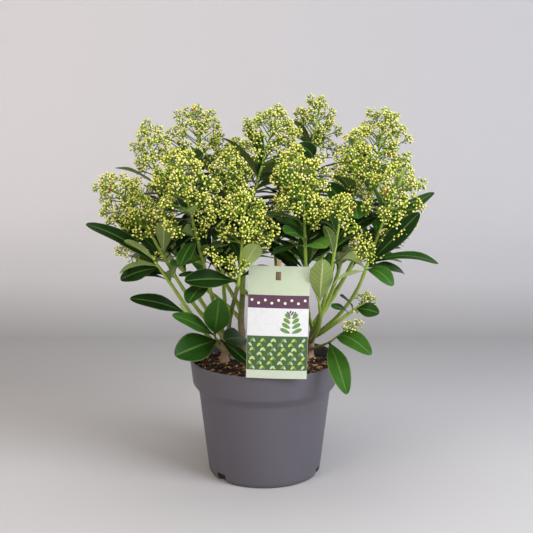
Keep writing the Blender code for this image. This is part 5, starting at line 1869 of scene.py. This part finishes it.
def make_leaves():
    """All leaves, in two pieces: towards the viewer and behind."""
    materials = []
    for i, (deep, fresh, under, paler) in enumerate(LEAF_TONES):
        materials.append(leaf_upper("waxy_leaf_upper_" + str(i + 1), deep, fresh))
        materials.append(leaf_under("matt_leaf_under_" + str(i + 1), under, paler))
    rng = np.random.default_rng(SEED + 1)
    grown = plant()
    groups = {"front": [], "back": []}
    shown = {leaf.tip: tone for leaf, tone in zip(SHOWN_LEAVES, SHOWN_TONES)}
    for name in SHOOTS:
        for blade in grown.masses[name].leaves + grown.fill[name]:
            drawn = int(rng.choice(len(LEAF_TONES), p=LEAF_TONE_SHARES))
            tone = shown.get(tuple(blade.tip), drawn)
            groups["front" if blade.tip[1] < 0 else "back"].append((blade, tone))
    thickness = bpy.context.scene.skimmia_sizes.leaf_thickness / MM
    for side, blades in groups.items():
        piece = leaf_piece("leaves_" + side, [b for b, _ in blades], [t for _, t in blades], materials,
                           thickness, SEED + 2)
        settle(piece, "foliage", *MASS_NODES)


# Flower heads

def make_stalks():
    """The sprays' stalks, and the fine twigs that carry the buds."""
    growth = flowers()
    stalks = grown_by("spray_stalks", line_mesh("spray_stalks", growth.stalks), twig_tree(), Sides=6,
                      Material=fleshy_stalk("fleshy_stalk", "#4a6a10", "#7c9a24"))
    settle(stalks, "foliage", *MASS_NODES)
    twigs = grown_by("bud_twigs", line_mesh("bud_twigs", growth.twigs), twig_tree(), Sides=3,
                     Material=fleshy_stalk("fleshy_twig", "#45620e", "#769420"))
    settle(twigs, "foliage", *MASS_NODES)


def make_buds(width, length):
    """The buds, in a piece for each tone."""
    buds = flowers().buds
    for index, (name, shade, light) in enumerate(BUD_TONES):
        some = [bud for bud in buds if bud.tone == index]
        base = bpy.data.meshes.new("buds_" + name)
        base.from_pydata([tuple(bud.place * MM) for bud in some], [], [])
        mark_points(base, "aim", "FLOAT_VECTOR", [bud.aim for bud in some])
        mark_points(base, "size", "FLOAT", [bud.size for bud in some])
        piece = grown_by("buds_" + name, base, bud_tree(), Width=width, Length=length,
                         Material=closed_bud("closed_bud_" + name, shade, light))
        settle(piece, "foliage", *MASS_NODES)


# Stage

STAGE_RADIUS = 2.6
STAGE_CURVE = 0.8
STAGE_HEIGHT = 3.2
STAGE_PAINTED_FALLOFF = ((-0.2, "#c6c6c6"), (0.25, "#bcbcbc"), (0.6, "#a4a4a4"), (1.1, "#dcdcdc"), (1.7, "#f8f8f8"))
# How far behind the pot's axis, and the paper's tone there with the light's falloff painted in: the table,
# its dim end in painted shade, and the wall.
"""How far behind the pot's axis, and the paper's tone there: the table, its dim end, and the wall."""
STAGE_PAINTED_SIDE_LIGHT = ("#fbf6f4", "#f2f2f5")
STAGE_SIDE_REACH = 0.7
# Painted light: the lights' tint on the paper's left and right, and how far out each is reached.
"""The light's tint on the paper's left and right, and how far out each is reached."""
LIGHTS = (
    ("key", (1.35, -1.05, 1.15), (0, 0, 0.2), 1.1, 41.0, "#f3f6ff"),
    ("fill", (-1.15, -1.35, 1.35), (0, 0, 0.2), 1.1, 16.0, "#fff0dc"),
    ("front", (0.1, -2.0, 1.0), (0, 0, 0.2), 1.2, 8.0, "#ffffff"),
    ("top", (0.0, 0.2, 2.2), (0, 0, 0.0), 1.4, 14.0, "#ffffff"),
)
"""Each light's name, place, aim, size in metres, power in watts and colour."""
ROOM_COLOUR = "#e4e8ee"
ROOM_STRENGTH = 0.28


def make_sweep():
    """A round studio sweep: floor, curve and wall in one."""
    curve = arc(((STAGE_RADIUS - STAGE_CURVE) / MM, STAGE_CURVE / MM), STAGE_CURVE / MM, -90, 0, 16)
    floor = [(radius, 0.0) for radius in (250.0, 700.0, 1200.0)]
    top = STAGE_HEIGHT / MM
    profile = [(0.0, 0.0)] + floor + curve + [(STAGE_RADIUS / MM, top), (0.0, top)]
    points, faces = turned_shape(profile, 96)
    last = len(points) - 1
    faces = [face[::-1] for face in faces if last not in face]
    sweep = mesh_piece("studio_sweep", points, faces, [studio_paper()])


def add_light(name, place, aim, size, power, colour):
    """A soft square light that looks at a point."""
    light = bpy.data.lights.new(name, "AREA")
    light.shape = "SQUARE"
    light.size = size
    light.energy = power
    light.color = linear(colour)
    lamp = new_object(name, light)
    lamp.location = place
    lamp.rotation_euler = (Vector(aim) - Vector(place)).to_track_quat("-Z", "Y").to_euler()


def make_lights():
    """The soft lights and the pale room round them, shown with no tone curve."""
    for light in LIGHTS:
        add_light(*light)
    world = bpy.data.worlds.new("studio")
    world.use_nodes = True
    room = world.node_tree.nodes["Background"].inputs
    room["Color"].default_value = rgba(ROOM_COLOUR)
    room["Strength"].default_value = ROOM_STRENGTH
    bpy.context.scene.world = world
    bpy.context.scene.view_settings.view_transform = "Standard"


def make_camera():
    """The camera, at the photograph's place and angle."""
    camera = bpy.data.cameras.new("photo_camera")
    camera.sensor_width = SENSOR
    camera.lens = PHOTO_FOCUS / PHOTO_SIZE * SENSOR
    camera.shift_x = (PHOTO_SIZE / 2 - PHOTO_CENTRE_X) / PHOTO_SIZE
    holder = new_object("photo_camera", camera)
    holder.location = (0.0, -CAMERA_DISTANCE, CAMERA_HEIGHT)
    holder.rotation_euler = (math.pi / 2 - CAMERA_PITCH, 0.0, 0.0)
    bpy.context.scene.camera = holder


# Settings, operators and panel

class SkimmiaSizes(bpy.types.PropertyGroup):
    """Sizes that a user may change."""

    bud_width: bpy.props.FloatProperty(
        name="Bud width", description="Width of a closed bud", default=0.0022, unit="LENGTH")
    bud_length: bpy.props.FloatProperty(
        name="Bud length", description="Length of a closed bud", default=0.0028, unit="LENGTH")
    leaf_thickness: bpy.props.FloatProperty(
        name="Leaf thickness", description="Thickness of a leaf beside its midrib", default=0.0006,
        unit="LENGTH")
    chip_density: bpy.props.FloatProperty(
        name="Chip density", description="Tan bark chips on each square metre of compost", default=9000.0)


class SkimmiaColours(bpy.types.PropertyGroup):
    """Colours that a user may change."""

    pot: bpy.props.FloatVectorProperty(
        name="Pot", description="Colour of the pot's plastic", default=linear("#5a575f"), subtype="COLOR",
        min=0.0, max=1.0)


class PieceOperator:
    """What every operator here shares."""

    bl_options = {"REGISTER", "UNDO"}


class SKIMMIA_OT_pot(PieceOperator, bpy.types.Operator):
    """Make the nursery pot"""

    bl_idname = "skimmia.pot"
    bl_label = "Pot"

    def execute(self, context):
        make_pot(tuple(context.scene.skimmia_colours.pot))
        return {"FINISHED"}


class SKIMMIA_OT_compost(PieceOperator, bpy.types.Operator):
    """Make the compost, its bark chips and root hairs"""

    bl_idname = "skimmia.compost"
    bl_label = "Compost"

    def execute(self, context):
        make_compost(context.scene.skimmia_sizes.chip_density)
        return {"FINISHED"}


class SKIMMIA_OT_label(PieceOperator, bpy.types.Operator):
    """Make the label card, its plain print and its stick"""

    bl_idname = "skimmia.label"
    bl_label = "Label"

    def execute(self, context):
        make_card()
        make_stick()
        return {"FINISHED"}


class SKIMMIA_OT_stems(PieceOperator, bpy.types.Operator):
    """Make the woody stems, green boughs and shoot stems"""

    bl_idname = "skimmia.stems"
    bl_label = "Stems and boughs"

    def execute(self, context):
        make_stems()
        make_boughs()
        make_shoots()
        return {"FINISHED"}


class SKIMMIA_OT_leaves(PieceOperator, bpy.types.Operator):
    """Make the leaves"""

    bl_idname = "skimmia.leaves"
    bl_label = "Leaves"

    def execute(self, context):
        make_leaves()
        return {"FINISHED"}


class SKIMMIA_OT_flowers(PieceOperator, bpy.types.Operator):
    """Make the flower heads: stalks, twigs and closed buds"""

    bl_idname = "skimmia.flowers"
    bl_label = "Flower heads"

    def execute(self, context):
        sizes = context.scene.skimmia_sizes
        make_stalks()
        make_buds(sizes.bud_width, sizes.bud_length)
        return {"FINISHED"}


class SKIMMIA_OT_stage(PieceOperator, bpy.types.Operator):
    """Make the studio sweep, the lights and the camera"""

    bl_idname = "skimmia.stage"
    bl_label = "Stage"

    def execute(self, context):
        make_sweep()
        make_lights()
        make_camera()
        return {"FINISHED"}


OPERATORS = (
    SKIMMIA_OT_pot, SKIMMIA_OT_compost, SKIMMIA_OT_label, SKIMMIA_OT_stems, SKIMMIA_OT_leaves,
    SKIMMIA_OT_flowers, SKIMMIA_OT_stage,
)


class SKIMMIA_PT_panel(bpy.types.Panel):
    """Sizes, colours and the operators of the potted skimmia"""

    bl_idname = "SKIMMIA_PT_panel"
    bl_label = "Potted skimmia"
    bl_space_type = "VIEW_3D"
    bl_region_type = "UI"
    bl_category = "Skimmia"

    def draw(self, context):
        layout = self.layout
        for group in (context.scene.skimmia_sizes, context.scene.skimmia_colours):
            for name in group.bl_rna.properties.keys():
                if name not in ("rna_type", "name"):
                    layout.prop(group, name)
        for operator in OPERATORS:
            layout.operator(operator.bl_idname)


CLASSES = (SkimmiaSizes, SkimmiaColours, *OPERATORS, SKIMMIA_PT_panel)


def register():
    """Registers the settings, operators and panel."""
    for cls in CLASSES:
        bpy.utils.register_class(cls)
    bpy.types.Scene.skimmia_sizes = bpy.props.PointerProperty(type=SkimmiaSizes)
    bpy.types.Scene.skimmia_colours = bpy.props.PointerProperty(type=SkimmiaColours)


def unregister():
    """Takes the settings, operators and panel away again."""
    del bpy.types.Scene.skimmia_colours
    del bpy.types.Scene.skimmia_sizes
    for cls in reversed(CLASSES):
        bpy.utils.unregister_class(cls)


def main():
    """Makes every piece and the stage."""
    register()
    bpy.ops.skimmia.pot()
    bpy.ops.skimmia.compost()
    bpy.ops.skimmia.label()
    bpy.ops.skimmia.stems()
    bpy.ops.skimmia.leaves()
    bpy.ops.skimmia.flowers()
    bpy.ops.skimmia.stage()


if __name__ == "__main__":
    main()
